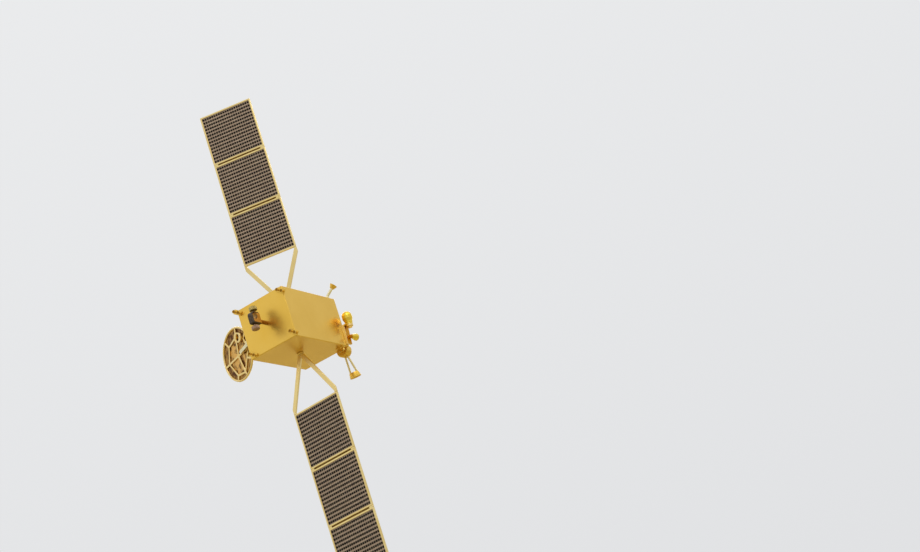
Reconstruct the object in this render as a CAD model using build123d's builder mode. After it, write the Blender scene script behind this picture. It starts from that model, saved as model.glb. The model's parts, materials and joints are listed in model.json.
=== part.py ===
"""Gold display model of a satellite with two three-panel wings.

The model hangs by a clamp with a round bore. Millimetres. The origin is on the
bore's axis, in the middle of the clamp. +X runs along the bore, +Y goes from the
clamp through the body to its Earth end, +Z is the wing axis.
"""
import os
from math import asin, cos, radians, sin, sqrt

from build123d import *

os.makedirs("parts", exist_ok=True)

# Body: a plain box, long from the clamp end to the Earth end
BODY_WIDTH = 100.0
BODY_LENGTH = 157.0
BODY_HEIGHT = 94.0
BODY_EDGE_RADIUS = 1.5
BODY_DROP = 6.9

# Hanging clamp and the rod that holds the body off it
BORE_RADIUS = 6.0
CLAMP_WIDTH = 10.0
STRAP_THICKNESS = 2.0
STRAP_END_MARGIN = 5.0
SADDLE_SPLIT = 1.0
SADDLE_LENGTH = 8.0
SADDLE_DROP = 12.0
SEAT_CLEARANCE = 0.1
UPPER_SCREW_Y = 6.8
LOWER_SCREW_Y = -1.5
SCREW_RADIUS = 1.6
SCREW_CLEARANCE = 0.15
SCREW_BITE = 2.6
SCREW_TIP_GAP = 0.3
SCREW_STEM = 4.0
KNOB_RADIUS = 7.0
KNOB_HEIGHT = 7.0
KNOB_EDGE_RADIUS = 1.5
ROD_RADIUS = 3.5
ROD_REACH = 33.5
ROD_SEAT_DEPTH = 12.0
ROD_GRIP = 4.0
FIT_CLEARANCE = 0.05

# Wings: hub, two yoke arms and three panels, the same for both wings
WING_AXIS_SHIFT = -3.0
YOKE_LENGTH = 95.0
YOKE_LEG = 6.0
YOKE_ARM_WIDTH = 7.4
YOKE_LEG_WIDTH = 5.0
YOKE_THICKNESS = 3.5
HUB_RADIUS = 6.5
HUB_HEIGHT = 2.0
HUB_LIFT = 0.4
PIN_RADIUS = 3.0
PIN_LENGTH = 14.0
PIN_CLEARANCE = 0.06
PIN_END_GAP = 1.0
PANEL_COUNT = 3
PANEL_WIDTH = 100.0
PANEL_LENGTH = 101.6
PANEL_THICKNESS = 3.5
PANEL_GAP = 2.8
RIM_WIDTH = 3.0
TRAY_FLOOR = 1.5
CELL_THICKNESS = 1.4
CELL_CLEARANCE = 0.1
LINK_WIDTH = 8.0
LINK_WEB = 1.2

# Dish on the left side, its back towards the clamp end
DISH_RADIUS = 46.5
DISH_DEPTH = 0.8
DISH_SHELL = 0.8
DISH_RIM_RADIUS = 2.0
DISH_RIM_DROP = 1.2
DISH_TURN = 21.5
DISH_CENTRE_X = -99.1
DISH_CENTRE_Y = -37.9
DISH_CENTRE_Z = -7.2
RIB_WIDTH = 4.0
RIB_HEIGHT = 1.9
RIB_SEAT_GAP = 0.1
RIB_HUB_RADIUS = 4.0
FRAME_ACROSS = 3.0
FRAME_DROP = 5.0
FRAME_RADIUS = 34.0
FRAME_CORNER_ANGLES = (0.0, 38.0, 78.0, 128.0, 181.0, 239.0, 281.0)
SPOKE_ANGLES = (0.0, 78.0, 181.0, 281.0)
STRUTS = ((38.0, 34.0), (128.0, 34.0), (239.0, 34.0), (330.0, 26.0))
DISH_ARM_SEAT = 18.0
DISH_BOSS_RADIUS = 3.4
DISH_BOSS_LENGTH = 2.0
DISH_ARM_WIDTH = 3.6
DISH_ARM_DEPTH = 6.0
DISH_ARM_FOOT_Y = -69.0
DISH_ARM_FOOT_LENGTH = 14.0
DISH_ARM_FOOT_THICKNESS = 3.0
LUG_ANGLE = 60.0
LUG_RADIUS = 32.5
LUG_LENGTH = 17.5
LUG_WIDTH = 22.0
LUG_CORNER = 8.0
LUG_SLOT_LENGTH = 12.4
LUG_SLOT_WIDTH = 8.6
LUG_THICKNESS = 3.2
FEED_BRACKET_Y = 40.0
FEED_REACH = 20.0
FEED_HORN_RADIUS = 7.0
FEED_THROAT_RADIUS = 3.0
FEED_LENGTH = 14.0
FEED_STEM = 5.0
FEED_HOLLOW = 7.0
FEED_WALL = 1.0
FEED_PLATE = 3.0

# Thruster pairs: two small nozzles side by side
THRUSTER_SPACING = 9.6
THRUSTER_PLATE_LENGTH = 17.0
THRUSTER_PLATE_WIDTH = 8.5
THRUSTER_PLATE_THICKNESS = 1.5
THRUSTER_TILT = -36.0
THRUSTER_DECK_SIDE_INSET = 10.0
THRUSTER_DECK_INSET = 14.0
NOZZLE_THROAT_RADIUS = 1.8
NOZZLE_MOUTH_RADIUS = 3.1
NOZZLE_LENGTH = 5.5
NOZZLE_NECK = 1.5
NOZZLE_HOLLOW = 3.5
NOZZLE_WALL = 0.6

# Horn group on the right side at the Earth end
HORN_WEDGE_TOP = 7.0
HORN_WEDGE_FOOT = 4.0
HORN_WEDGE_WIDTH = 13.0
HORN_WEDGE_INSET = 3.0
HORN_WEDGE_HEIGHT = 36.0
HORN_SHELF_THICKNESS = 3.0
HORN_DOME_OFFSET = 14.0
HORN_DOME_RADIUS = 9.2
HORN_DOME_HEIGHT = 22.0
HORN_DOME_NECK = 7.0
HORN_DOME_NECK_HEIGHT = 2.0
HORN_DOME_SHOULDER = 8.0
WAVEGUIDE_COLLAR_RADIUS = 6.2
WAVEGUIDE_COLLAR_HEIGHT = 4.0
WAVEGUIDE_RADIUS = 4.2
WAVEGUIDE_LENGTH = 6.0
HORN_ARM_REACH = 13.0
HORN_ARM_WIDTH = 4.0
HORN_CONE_INSET = 15.5
HORN_CONE_THROAT = 3.6
HORN_CONE_MOUTH = 6.6
HORN_CONE_LENGTH = 15.0
HORN_CONE_HOLLOW = 6.0
HORN_CONE_WALL = 0.8
HORN_OVERHANG = 5.5

# Antennas on thin rods at the top and bottom of the Earth end
UPPER_ROD_RADIUS = 2.5
UPPER_ROD_EDGE_INSET = 4.5
UPPER_ROD_Y = 62.5
UPPER_ROD_TILT = 45.0
UPPER_ROD_TURN = 27.0
UPPER_ROD_LENGTH = 18.5
UPPER_FOOT_RADIUS = 4.0
UPPER_FOOT_HEIGHT = 2.5
ROD_SEAT_GAP = 0.1
CUP_RADIUS = 7.0
CUP_BASE_RADIUS = 3.6
CUP_HEIGHT = 7.0
CUP_WALL = 1.0
DRUM_SIDE_INSET = 18.0
DRUM_RADIUS = 12.0
DRUM_LENGTH = 16.0
DRUM_EDGE_RADIUS = 3.0
ROD_BITE = 3.0
LOWER_ROD_RADIUS = 1.8
LOWER_ROD_LENGTH = 29.5
LOWER_ROD_LEAN = 13.0
LOWER_ROD_TOP_SPREAD = 2.6
LOWER_ROD_BOTTOM_SPREAD = 6.6
LOWER_CUP_BASE_RADIUS = 8.6
LOWER_CUP_RADIUS = 10.6
LOWER_CUP_HEIGHT = 9.5

# Earth face: antenna array and a small sensor
ARRAY_RADIUS = 32.0
ARRAY_THICKNESS = 5.0
ELEMENT_RING_RADIUS = 20.0
ELEMENT_RADIUS = 4.5
ELEMENT_HEIGHT = 9.0
ELEMENT_COUNT = 6
SENSOR_SIZE = 9.0
SENSOR_SPACING = 9.2
SENSOR_ANGLE = -54.0

# Places worked out from the sizes above
body_centre_y = ROD_REACH + BODY_LENGTH / 2
body_centre_z = -BODY_DROP
back_face_y = body_centre_y - BODY_LENGTH / 2
earth_face_y = body_centre_y + BODY_LENGTH / 2
top_face_z = body_centre_z + BODY_HEIGHT / 2
bottom_face_z = body_centre_z - BODY_HEIGHT / 2
side_face_x = BODY_WIDTH / 2
wing_axis_y = body_centre_y + WING_AXIS_SHIFT


def save(part, label):
    """Label one finished piece and write it as its own STEP file."""
    part.label = label
    export_step(part, f"parts/{label}.step")


def at_body(x, y, z):
    """A point given from the middle of the body."""
    return Vector(x, body_centre_y + y, body_centre_z + z)


# The body with the seats for the holding rod and the two wing pins
with BuildPart() as bus_body:
    with BuildSketch(Plane.XZ.offset(-back_face_y)):
        with Locations((0, body_centre_z)):
            Rectangle(BODY_WIDTH, BODY_HEIGHT)
    extrude(amount=-BODY_LENGTH)
    fillet(bus_body.edges(), BODY_EDGE_RADIUS)
    with BuildSketch(Plane.XZ.offset(-back_face_y)):
        with Locations((0, body_centre_z)):
            Circle(ROD_RADIUS + FIT_CLEARANCE)
    extrude(amount=-ROD_SEAT_DEPTH, mode=Mode.SUBTRACT)
    for face_z, inward in ((top_face_z, -1), (bottom_face_z, 1)):
        with BuildSketch(Plane.XY.offset(face_z)):
            with Locations((0, wing_axis_y)):
                Circle(PIN_RADIUS + PIN_CLEARANCE)
        extrude(amount=inward * (PIN_LENGTH + PIN_END_GAP), mode=Mode.SUBTRACT)
save(bus_body.part, "bus_body")

# The clamp: a strap round the bore and a saddle behind and below it
strap_outer_radius = BORE_RADIUS + STRAP_THICKNESS
strap_end_y = UPPER_SCREW_Y + STRAP_END_MARGIN
strap_bottom_z = -SADDLE_DROP - STRAP_THICKNESS
with BuildPart() as clamp_strap:
    with BuildSketch(Plane.YZ.offset(-CLAMP_WIDTH / 2)):
        with BuildLine():
            Polyline(
                (strap_end_y, BORE_RADIUS),
                (strap_end_y, strap_outer_radius),
                (0, strap_outer_radius),
            )
            RadiusArc((0, strap_outer_radius), (-strap_outer_radius, 0), -strap_outer_radius)
            Polyline(
                (-strap_outer_radius, 0),
                (-strap_outer_radius, strap_bottom_z),
                (strap_end_y, strap_bottom_z),
                (strap_end_y, -SADDLE_DROP),
                (-BORE_RADIUS, -SADDLE_DROP),
                (-BORE_RADIUS, 0),
            )
            RadiusArc((-BORE_RADIUS, 0), (0, BORE_RADIUS), BORE_RADIUS)
            Line((0, BORE_RADIUS), (strap_end_y, BORE_RADIUS))
        make_face()
    extrude(amount=CLAMP_WIDTH)
    with BuildSketch(Plane.XY):
        with Locations((0, UPPER_SCREW_Y)):
            Circle(SCREW_RADIUS + SCREW_CLEARANCE)
    extrude(amount=strap_outer_radius, mode=Mode.SUBTRACT)
    with BuildSketch(Plane.XY.offset(strap_bottom_z)):
        with Locations((0, LOWER_SCREW_Y)):
            Circle(SCREW_RADIUS + SCREW_CLEARANCE)
    extrude(amount=STRAP_THICKNESS, mode=Mode.SUBTRACT)
save(clamp_strap.part, "clamp_strap")

# The saddle's foot reaches under the bore to take the lower screw
saddle_top_z = BORE_RADIUS - SEAT_CLEARANCE
saddle_bottom_z = SEAT_CLEARANCE - SADDLE_DROP
saddle_end_y = BORE_RADIUS + SADDLE_LENGTH
saddle_outline = [
    (SADDLE_SPLIT, saddle_top_z),
    (saddle_end_y, saddle_top_z),
    (saddle_end_y, saddle_bottom_z),
    (SEAT_CLEARANCE - BORE_RADIUS, saddle_bottom_z),
    (SEAT_CLEARANCE - BORE_RADIUS, -BORE_RADIUS - SEAT_CLEARANCE),
    (SADDLE_SPLIT, -BORE_RADIUS - SEAT_CLEARANCE),
]
# Screw's place along Y, direction away from the bore, the saddle's face and the strap's face
SCREWS = (
    (UPPER_SCREW_Y, 1, saddle_top_z, strap_outer_radius),
    (LOWER_SCREW_Y, -1, saddle_bottom_z, strap_bottom_z),
)
with BuildPart() as clamp_saddle:
    with BuildSketch(Plane.YZ.offset(-CLAMP_WIDTH / 2)):
        Polygon(*saddle_outline, align=None)
        Circle(BORE_RADIUS, mode=Mode.SUBTRACT)
    extrude(amount=CLAMP_WIDTH)
    for screw_y, direction, saddle_face_z, strap_face_z in SCREWS:
        with BuildSketch(Plane.XY.offset(saddle_face_z)):
            with Locations((0, screw_y)):
                Circle(SCREW_RADIUS + SCREW_CLEARANCE)
        extrude(amount=-direction * (SCREW_BITE + SCREW_TIP_GAP), mode=Mode.SUBTRACT)
    with BuildSketch(Plane.XZ.offset(-saddle_end_y)):
        with Locations((0, body_centre_z)):
            Circle(ROD_RADIUS + FIT_CLEARANCE)
    extrude(amount=ROD_GRIP, mode=Mode.SUBTRACT)
save(clamp_saddle.part, "clamp_saddle")

# Thumb screws above and below the bore, each a stem with a round knob
with BuildPart() as clamp_screws:
    for screw_y, direction, saddle_face_z, strap_face_z in SCREWS:
        screw_end_z = saddle_face_z - direction * SCREW_BITE
        knob_start_z = strap_face_z + direction * SCREW_STEM
        with BuildSketch(Plane.XY.offset(screw_end_z)):
            with Locations((0, screw_y)):
                Circle(SCREW_RADIUS)
        extrude(amount=knob_start_z - screw_end_z)
        with BuildSketch(Plane.XY.offset(knob_start_z)):
            with Locations((0, screw_y)):
                Circle(KNOB_RADIUS)
        extrude(amount=direction * KNOB_HEIGHT)
    knob_edges = clamp_screws.edges().filter_by(GeomType.CIRCLE).sort_by(Axis.Z)
    fillet([knob_edges[0], knob_edges[-1]], KNOB_EDGE_RADIUS)
save(clamp_screws.part, "clamp_screws")

# The rod runs along the body's middle line from its seat in the saddle
with BuildPart() as holder_rod:
    with BuildSketch(Plane.XZ.offset(ROD_GRIP - saddle_end_y)):
        with Locations((0, body_centre_z)):
            Circle(ROD_RADIUS)
    extrude(amount=-(back_face_y + ROD_SEAT_DEPTH - saddle_end_y + ROD_GRIP))
save(holder_rod.part, "holder_rod")

# One wing in its own frame: z away from the body, -y is the cell side
arm_half = YOKE_ARM_WIDTH / 2
arm_foot = HUB_LIFT + HUB_HEIGHT
leg_outer_x = PANEL_WIDTH / 2
leg_inner_x = leg_outer_x - YOKE_LEG_WIDTH
knee_x = (leg_outer_x + leg_inner_x) / 2
knee_height = YOKE_LENGTH - YOKE_LEG
arm_length = sqrt(knee_x**2 + knee_height**2)
arm_sine = knee_x / arm_length
arm_cosine = knee_height / arm_length


def front_plane(wing, depth):
    """Drawing plane seen from the cell side, at a depth behind the wing's middle."""
    return Plane(origin=wing.origin + wing.y_dir * depth, x_dir=wing.x_dir, z_dir=-wing.y_dir)


def hub(wing):
    """Round flange that the arms stand on, with the pin that turns in the body."""
    with BuildPart() as flange:
        with BuildSketch(wing.offset(HUB_LIFT)):
            Circle(HUB_RADIUS)
        extrude(amount=HUB_HEIGHT)
        with BuildSketch(wing.offset(HUB_LIFT)):
            Circle(PIN_RADIUS)
        extrude(amount=-(PIN_LENGTH + HUB_LIFT))
    return flange.part


def yoke_arm(wing, side):
    """One bar of the V, mitred at the foot, with a short leg up to the panel's corner."""
    outline = [
        (0, arm_foot),
        ((arm_foot * arm_sine + arm_half) / arm_cosine, arm_foot),
        (leg_outer_x, (arm_cosine * leg_outer_x - arm_half) / arm_sine),
        (leg_outer_x, YOKE_LENGTH),
        (leg_inner_x, YOKE_LENGTH),
        (leg_inner_x, (arm_cosine * leg_inner_x + arm_half) / arm_sine),
        (0, arm_half / arm_sine),
    ]
    with BuildPart() as arm:
        with BuildSketch(front_plane(wing, YOKE_THICKNESS / 2)):
            Polygon(*[(side * x, height) for x, height in outline], align=None)
        extrude(amount=YOKE_THICKNESS)
    return arm.part


def panel_middle(number):
    """Height of a panel's middle above the body's face, counted from 0."""
    return YOKE_LENGTH + PANEL_LENGTH / 2 + number * (PANEL_LENGTH + PANEL_GAP)


def panel_tray(wing, number):
    """Flat gold tray with a raised rim round the place of the cells."""
    with BuildPart() as tray:
        with BuildSketch(front_plane(wing, PANEL_THICKNESS / 2)):
            with Locations((0, panel_middle(number))):
                Rectangle(PANEL_WIDTH, PANEL_LENGTH)
        extrude(amount=PANEL_THICKNESS)
        with BuildSketch(front_plane(wing, PANEL_THICKNESS / 2 - TRAY_FLOOR)):
            with Locations((0, panel_middle(number))):
                Rectangle(PANEL_WIDTH - 2 * RIM_WIDTH, PANEL_LENGTH - 2 * RIM_WIDTH)
        extrude(amount=PANEL_THICKNESS, mode=Mode.SUBTRACT)
    return tray.part


def cell_sheet(wing, number):
    """Sheet of solar cells that lies in the tray."""
    inset = 2 * (RIM_WIDTH + CELL_CLEARANCE)
    with BuildPart() as sheet:
        with BuildSketch(front_plane(wing, PANEL_THICKNESS / 2 - TRAY_FLOOR)):
            with Locations((0, panel_middle(number))):
                Rectangle(PANEL_WIDTH - inset, PANEL_LENGTH - inset)
        extrude(amount=CELL_THICKNESS)
    return sheet.part


def panel_links(wing):
    """Joining strips in the gaps: a web along the back and a thick block at each end."""
    link_x = (PANEL_WIDTH - LINK_WIDTH) / 2
    gap_heights = [
        panel_middle(gap) + (PANEL_LENGTH + PANEL_GAP) / 2 for gap in range(PANEL_COUNT - 1)
    ]
    with BuildPart() as links:
        with BuildSketch(front_plane(wing, PANEL_THICKNESS / 2)):
            with Locations(*[(0, height) for height in gap_heights]):
                Rectangle(PANEL_WIDTH, PANEL_GAP)
        extrude(amount=LINK_WEB)
        with BuildSketch(front_plane(wing, PANEL_THICKNESS / 2)):
            with Locations(*[(x, height) for height in gap_heights for x in (-link_x, link_x)]):
                Rectangle(LINK_WIDTH, PANEL_GAP)
        extrude(amount=PANEL_THICKNESS)
    return links.part


# Name, face height, direction of z, turn about +Z from straight across
WINGS = (
    ("upper", top_face_z, 1, 19.0),
    ("lower", bottom_face_z, -1, -4.0),
)
for name, face_z, direction, turn in WINGS:
    width_dir = Vector(cos(radians(turn)), sin(radians(turn)), 0) * direction
    wing = Plane(origin=(0, wing_axis_y, face_z), x_dir=width_dir, z_dir=(0, 0, direction))
    save(hub(wing), f"{name}_hub")
    save(yoke_arm(wing, -direction), f"{name}_yoke_left")
    save(yoke_arm(wing, direction), f"{name}_yoke_right")
    for number in range(PANEL_COUNT):
        save(panel_tray(wing, number), f"{name}_panel_{number + 1}")
        save(cell_sheet(wing, number), f"{name}_cells_{number + 1}")
    save(panel_links(wing), f"{name}_panel_links")

# The dish faces the Earth end, turned a little towards the body
dish_dir = Vector(sin(radians(DISH_TURN)), cos(radians(DISH_TURN)), 0)
dish_across = Vector(cos(radians(DISH_TURN)), -sin(radians(DISH_TURN)), 0)
dish_centre = at_body(DISH_CENTRE_X, DISH_CENTRE_Y, DISH_CENTRE_Z)
dish_axis = Axis(dish_centre, dish_dir)
dish_section = Plane(origin=dish_centre, x_dir=dish_across, z_dir=(0, 0, 1))
dish_back = Plane(origin=dish_centre, x_dir=dish_across, z_dir=-dish_dir)
front_sphere_radius = (DISH_RADIUS**2 + DISH_DEPTH**2) / (2 * DISH_DEPTH)
sphere_middle = front_sphere_radius - DISH_DEPTH


def sphere_arc(offset, radius):
    """Point of the dish's sphere, moved out by offset, at a distance from the axis."""
    return (radius, sphere_middle - sqrt((front_sphere_radius + offset) ** 2 - radius**2))


def dish_band(inner_offset, outer_offset, radius):
    """Outline between two spheres of the dish, from the axis out to a radius."""
    with BuildLine() as outline:
        inner = [sphere_arc(inner_offset, share * radius) for share in (0, 0.5, 1)]
        outer = [sphere_arc(outer_offset, share * radius) for share in (1, 0.5, 0)]
        ThreePointArc(*inner)
        Line(inner[-1], outer[0])
        ThreePointArc(*outer)
        Line(outer[-1], inner[0])
    return outline.line


with BuildPart() as dish_reflector:
    with BuildSketch(dish_section):
        make_face(dish_band(0, DISH_SHELL, DISH_RADIUS).edges())
    revolve(axis=dish_axis)
    with BuildSketch(dish_section):
        with Locations((DISH_RADIUS, -DISH_RIM_DROP)):
            Circle(DISH_RIM_RADIUS)
    revolve(axis=dish_axis)
save(dish_reflector.part, "dish_reflector")

rib_inner_offset = DISH_SHELL + RIB_SEAT_GAP
rib_outer_offset = rib_inner_offset + RIB_HEIGHT
rib_reach = DISH_RADIUS - DISH_RIM_RADIUS - RIB_SEAT_GAP
frame_middle = (FRAME_ACROSS, -FRAME_DROP)


def frame_corners(radius):
    """Corners of the frame's outline at a distance from its middle."""
    turns = [radians(angle) for angle in FRAME_CORNER_ANGLES]
    return [(radius * cos(turn), radius * sin(turn)) for turn in turns]


# Frame on the dish's back: straight bars, four spokes to the rim and four short struts
with BuildPart() as dish_ribs:
    with BuildSketch(dish_section):
        make_face(dish_band(rib_inner_offset, rib_outer_offset, rib_reach).edges())
    revolve(axis=dish_axis)
    with BuildSketch(dish_back.offset(-DISH_DEPTH)):
        with Locations(frame_middle):
            Polygon(*frame_corners(FRAME_RADIUS + RIB_WIDTH / 2), align=None)
            Polygon(
                *frame_corners(FRAME_RADIUS - RIB_WIDTH / 2), align=None, mode=Mode.SUBTRACT
            )
            Circle(RIB_HUB_RADIUS)
            for angle in SPOKE_ANGLES:
                with PolarLocations(DISH_RADIUS / 2, 1, start_angle=angle):
                    Rectangle(DISH_RADIUS, RIB_WIDTH)
            for angle, start in STRUTS:
                with PolarLocations(start + DISH_RADIUS / 4, 1, start_angle=angle):
                    Rectangle(DISH_RADIUS / 2, RIB_WIDTH)
    extrude(amount=2 * DISH_DEPTH + rib_outer_offset, mode=Mode.INTERSECT)
save(dish_ribs.part, "dish_ribs")

# Arm from the frame's near spoke to a foot on the body's side
boss_start = DISH_DEPTH + rib_outer_offset
boss_across = FRAME_ACROSS + DISH_ARM_SEAT
boss_end = (
    dish_centre
    + dish_across * boss_across
    - Vector(0, 0, FRAME_DROP)
    - dish_dir * (boss_start + DISH_BOSS_LENGTH)
)
foot_point = at_body(-side_face_x, DISH_ARM_FOOT_Y, DISH_CENTRE_Z - FRAME_DROP)
with BuildPart() as dish_arm:
    with BuildSketch(dish_back.offset(boss_start)):
        with Locations((boss_across, -FRAME_DROP)):
            Circle(DISH_BOSS_RADIUS)
    extrude(amount=DISH_BOSS_LENGTH + DISH_ARM_WIDTH)
    with BuildSketch(Plane.YZ.offset(-side_face_x)):
        with Locations((foot_point.Y, foot_point.Z)):
            Rectangle(DISH_ARM_FOOT_LENGTH, DISH_ARM_DEPTH)
    extrude(amount=-DISH_ARM_FOOT_THICKNESS)
    arm_start = boss_end - dish_dir * (DISH_ARM_WIDTH / 2)
    arm_end = foot_point - Vector(DISH_ARM_FOOT_THICKNESS / 2, 0, 0)
    arm_run = arm_end - arm_start
    arm_across = arm_run.normalized().cross(Vector(0, 0, 1)) * (DISH_ARM_WIDTH / 2)
    corners = [
        arm_start - arm_across,
        arm_start + arm_across,
        arm_end + arm_across,
        arm_end - arm_across,
    ]
    with BuildSketch(Plane.XY.offset(foot_point.Z - DISH_ARM_DEPTH / 2)):
        Polygon(*[(corner.X, corner.Y) for corner in corners], align=None)
    extrude(amount=DISH_ARM_DEPTH)
save(dish_arm.part, "dish_arm")

# Slotted hold-down lug that lies on the frame's upper bar
rib_outer_radius = front_sphere_radius + rib_outer_offset
lug_radial = dish_across * cos(radians(LUG_ANGLE)) + Vector(0, 0, 1) * sin(radians(LUG_ANGLE))
lug_place = lug_radial * LUG_RADIUS + dish_across * FRAME_ACROSS - Vector(0, 0, FRAME_DROP)
lug_slope = asin(lug_place.length / rib_outer_radius)
lug_normal = lug_place.normalized() * sin(lug_slope) - dish_dir * cos(lug_slope)
lug_plane = Plane(
    origin=dish_centre + dish_dir * sphere_middle + lug_normal * (rib_outer_radius + RIB_SEAT_GAP),
    x_dir=lug_radial,
    z_dir=lug_normal,
)
with BuildPart() as dish_lug:
    with BuildSketch(lug_plane):
        RectangleRounded(LUG_LENGTH, LUG_WIDTH, LUG_CORNER)
        SlotOverall(LUG_SLOT_LENGTH, LUG_SLOT_WIDTH, mode=Mode.SUBTRACT)
    extrude(amount=LUG_THICKNESS)
save(dish_lug.part, "dish_lug")

# Feed horn that looks back at the dish, on a bracket on the body's side
feed_bracket_y = body_centre_y + FEED_BRACKET_Y
feed_horn_x = -side_face_x - FEED_REACH + FEED_HORN_RADIUS
with BuildPart() as feed_bracket:
    with BuildSketch(Plane.XZ.offset(-feed_bracket_y)):
        with Locations((-side_face_x - FEED_REACH / 2, dish_centre.Z)):
            Rectangle(FEED_REACH, 2 * FEED_HORN_RADIUS)
    extrude(amount=-FEED_PLATE)
save(feed_bracket.part, "feed_bracket")
feed_plane = Plane(
    origin=(feed_horn_x, feed_bracket_y, dish_centre.Z), x_dir=(1, 0, 0), z_dir=(0, 0, 1)
)
with BuildPart() as feed_horn:
    with BuildSketch(feed_plane):
        Polygon(
            (0, 0),
            (FEED_THROAT_RADIUS, 0),
            (FEED_THROAT_RADIUS, -FEED_STEM),
            (FEED_HORN_RADIUS, -FEED_LENGTH),
            (FEED_HORN_RADIUS - FEED_WALL, -FEED_LENGTH),
            (0, -FEED_HOLLOW),
            align=None,
        )
    revolve(axis=Axis(feed_plane.origin, (0, 1, 0)))
save(feed_horn.part, "feed_horn")

BASE_DOWN = (Align.CENTER, Align.CENTER, Align.MIN)


def thruster_pair(plane):
    """Two small bell nozzles, open at the mouth, on a plate that is screwed to a face."""
    bell_length = NOZZLE_LENGTH - NOZZLE_NECK
    neck_z = THRUSTER_PLATE_THICKNESS
    bell_z = neck_z + NOZZLE_NECK
    hollow_z = neck_z + NOZZLE_LENGTH - NOZZLE_HOLLOW
    with BuildPart(plane) as pair:
        Box(THRUSTER_PLATE_LENGTH, THRUSTER_PLATE_WIDTH, THRUSTER_PLATE_THICKNESS, align=BASE_DOWN)
        for nozzle_x in (-THRUSTER_SPACING / 2, THRUSTER_SPACING / 2):
            with Locations((nozzle_x, 0, neck_z)):
                Cylinder(NOZZLE_THROAT_RADIUS, NOZZLE_NECK, align=BASE_DOWN)
            with Locations((nozzle_x, 0, bell_z)):
                Cone(NOZZLE_THROAT_RADIUS, NOZZLE_MOUTH_RADIUS, bell_length, align=BASE_DOWN)
            with Locations((nozzle_x, 0, hollow_z)):
                Cone(
                    NOZZLE_THROAT_RADIUS - NOZZLE_WALL,
                    NOZZLE_MOUTH_RADIUS - NOZZLE_WALL,
                    NOZZLE_HOLLOW,
                    align=BASE_DOWN,
                    mode=Mode.SUBTRACT,
                )
    return pair.part


# Name, side, level, the pair's middle in from the side and in from the top or bottom
CORNER_THRUSTERS = (
    ("right_top", 1, 1, 3.0, 8.5),
    ("left_top", -1, 1, 1.5, 4.0),
    ("left_bottom", -1, -1, 7.5, 7.0),
    ("right_bottom", 1, -1, 2.0, 7.0),
)
tilt_dir = (cos(radians(THRUSTER_TILT)), 0, sin(radians(THRUSTER_TILT)))
for name, side, level, side_inset, end_inset in CORNER_THRUSTERS:
    pair_x = side * (side_face_x - side_inset)
    pair_z = body_centre_z + level * (BODY_HEIGHT / 2 - end_inset)
    corner_plane = Plane(origin=(pair_x, back_face_y, pair_z), x_dir=tilt_dir, z_dir=(0, -1, 0))
    save(thruster_pair(corner_plane), f"thrusters_{name}")
deck_x = side_face_x - THRUSTER_DECK_SIDE_INSET
deck_y = earth_face_y - THRUSTER_DECK_INSET
for name, face_z, direction in (("top", top_face_z, 1), ("bottom", bottom_face_z, -1)):
    deck_plane = Plane(
        origin=(-direction * deck_x, deck_y, face_z), x_dir=(1, 0, 0), z_dir=(0, 0, direction)
    )
    save(thruster_pair(deck_plane), f"thrusters_{name}")

# Bracket on the right side at the Earth end: wedge on the wall, round-ended shelf and lower arm
wedge_end_y = earth_face_y + HORN_OVERHANG
wedge_middle_y = wedge_end_y - HORN_WEDGE_WIDTH / 2
wedge_bottom_z = bottom_face_z + HORN_WEDGE_INSET
shelf_top_z = wedge_bottom_z + HORN_WEDGE_HEIGHT
horn_cone_z = bottom_face_z + HORN_CONE_INSET
dome_x = side_face_x + HORN_DOME_OFFSET
with BuildPart() as horn_bracket:
    with BuildSketch(Plane.XZ.offset(-wedge_end_y)):
        Polygon(
            (side_face_x, wedge_bottom_z),
            (side_face_x + HORN_WEDGE_FOOT, wedge_bottom_z),
            (side_face_x + HORN_WEDGE_TOP, shelf_top_z),
            (side_face_x, shelf_top_z),
            align=None,
        )
    extrude(amount=HORN_WEDGE_WIDTH)
    with BuildSketch(Plane.XY.offset(shelf_top_z)):
        with Locations(((side_face_x + dome_x) / 2, wedge_middle_y)):
            Rectangle(HORN_DOME_OFFSET, HORN_WEDGE_WIDTH)
        with Locations((dome_x, wedge_middle_y)):
            Circle(HORN_WEDGE_WIDTH / 2)
    extrude(amount=-HORN_SHELF_THICKNESS)
    with BuildSketch(Plane.YZ.offset(side_face_x)):
        with Locations((wedge_middle_y, horn_cone_z)):
            Rectangle(HORN_ARM_WIDTH, HORN_ARM_WIDTH)
    extrude(amount=HORN_ARM_REACH)
save(horn_bracket.part, "horn_bracket")

# Short waveguide under the shelf: a collar and a round stem
with BuildPart() as horn_waveguide:
    with BuildSketch(Plane.XY.offset(shelf_top_z - HORN_SHELF_THICKNESS)):
        with Locations((dome_x, wedge_middle_y)):
            Circle(WAVEGUIDE_COLLAR_RADIUS)
    extrude(amount=-WAVEGUIDE_COLLAR_HEIGHT)
    with BuildSketch(Plane.XY.offset(shelf_top_z - HORN_SHELF_THICKNESS)):
        with Locations((dome_x, wedge_middle_y)):
            Circle(WAVEGUIDE_RADIUS)
    extrude(amount=-WAVEGUIDE_LENGTH)
save(horn_waveguide.part, "horn_waveguide")

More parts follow.
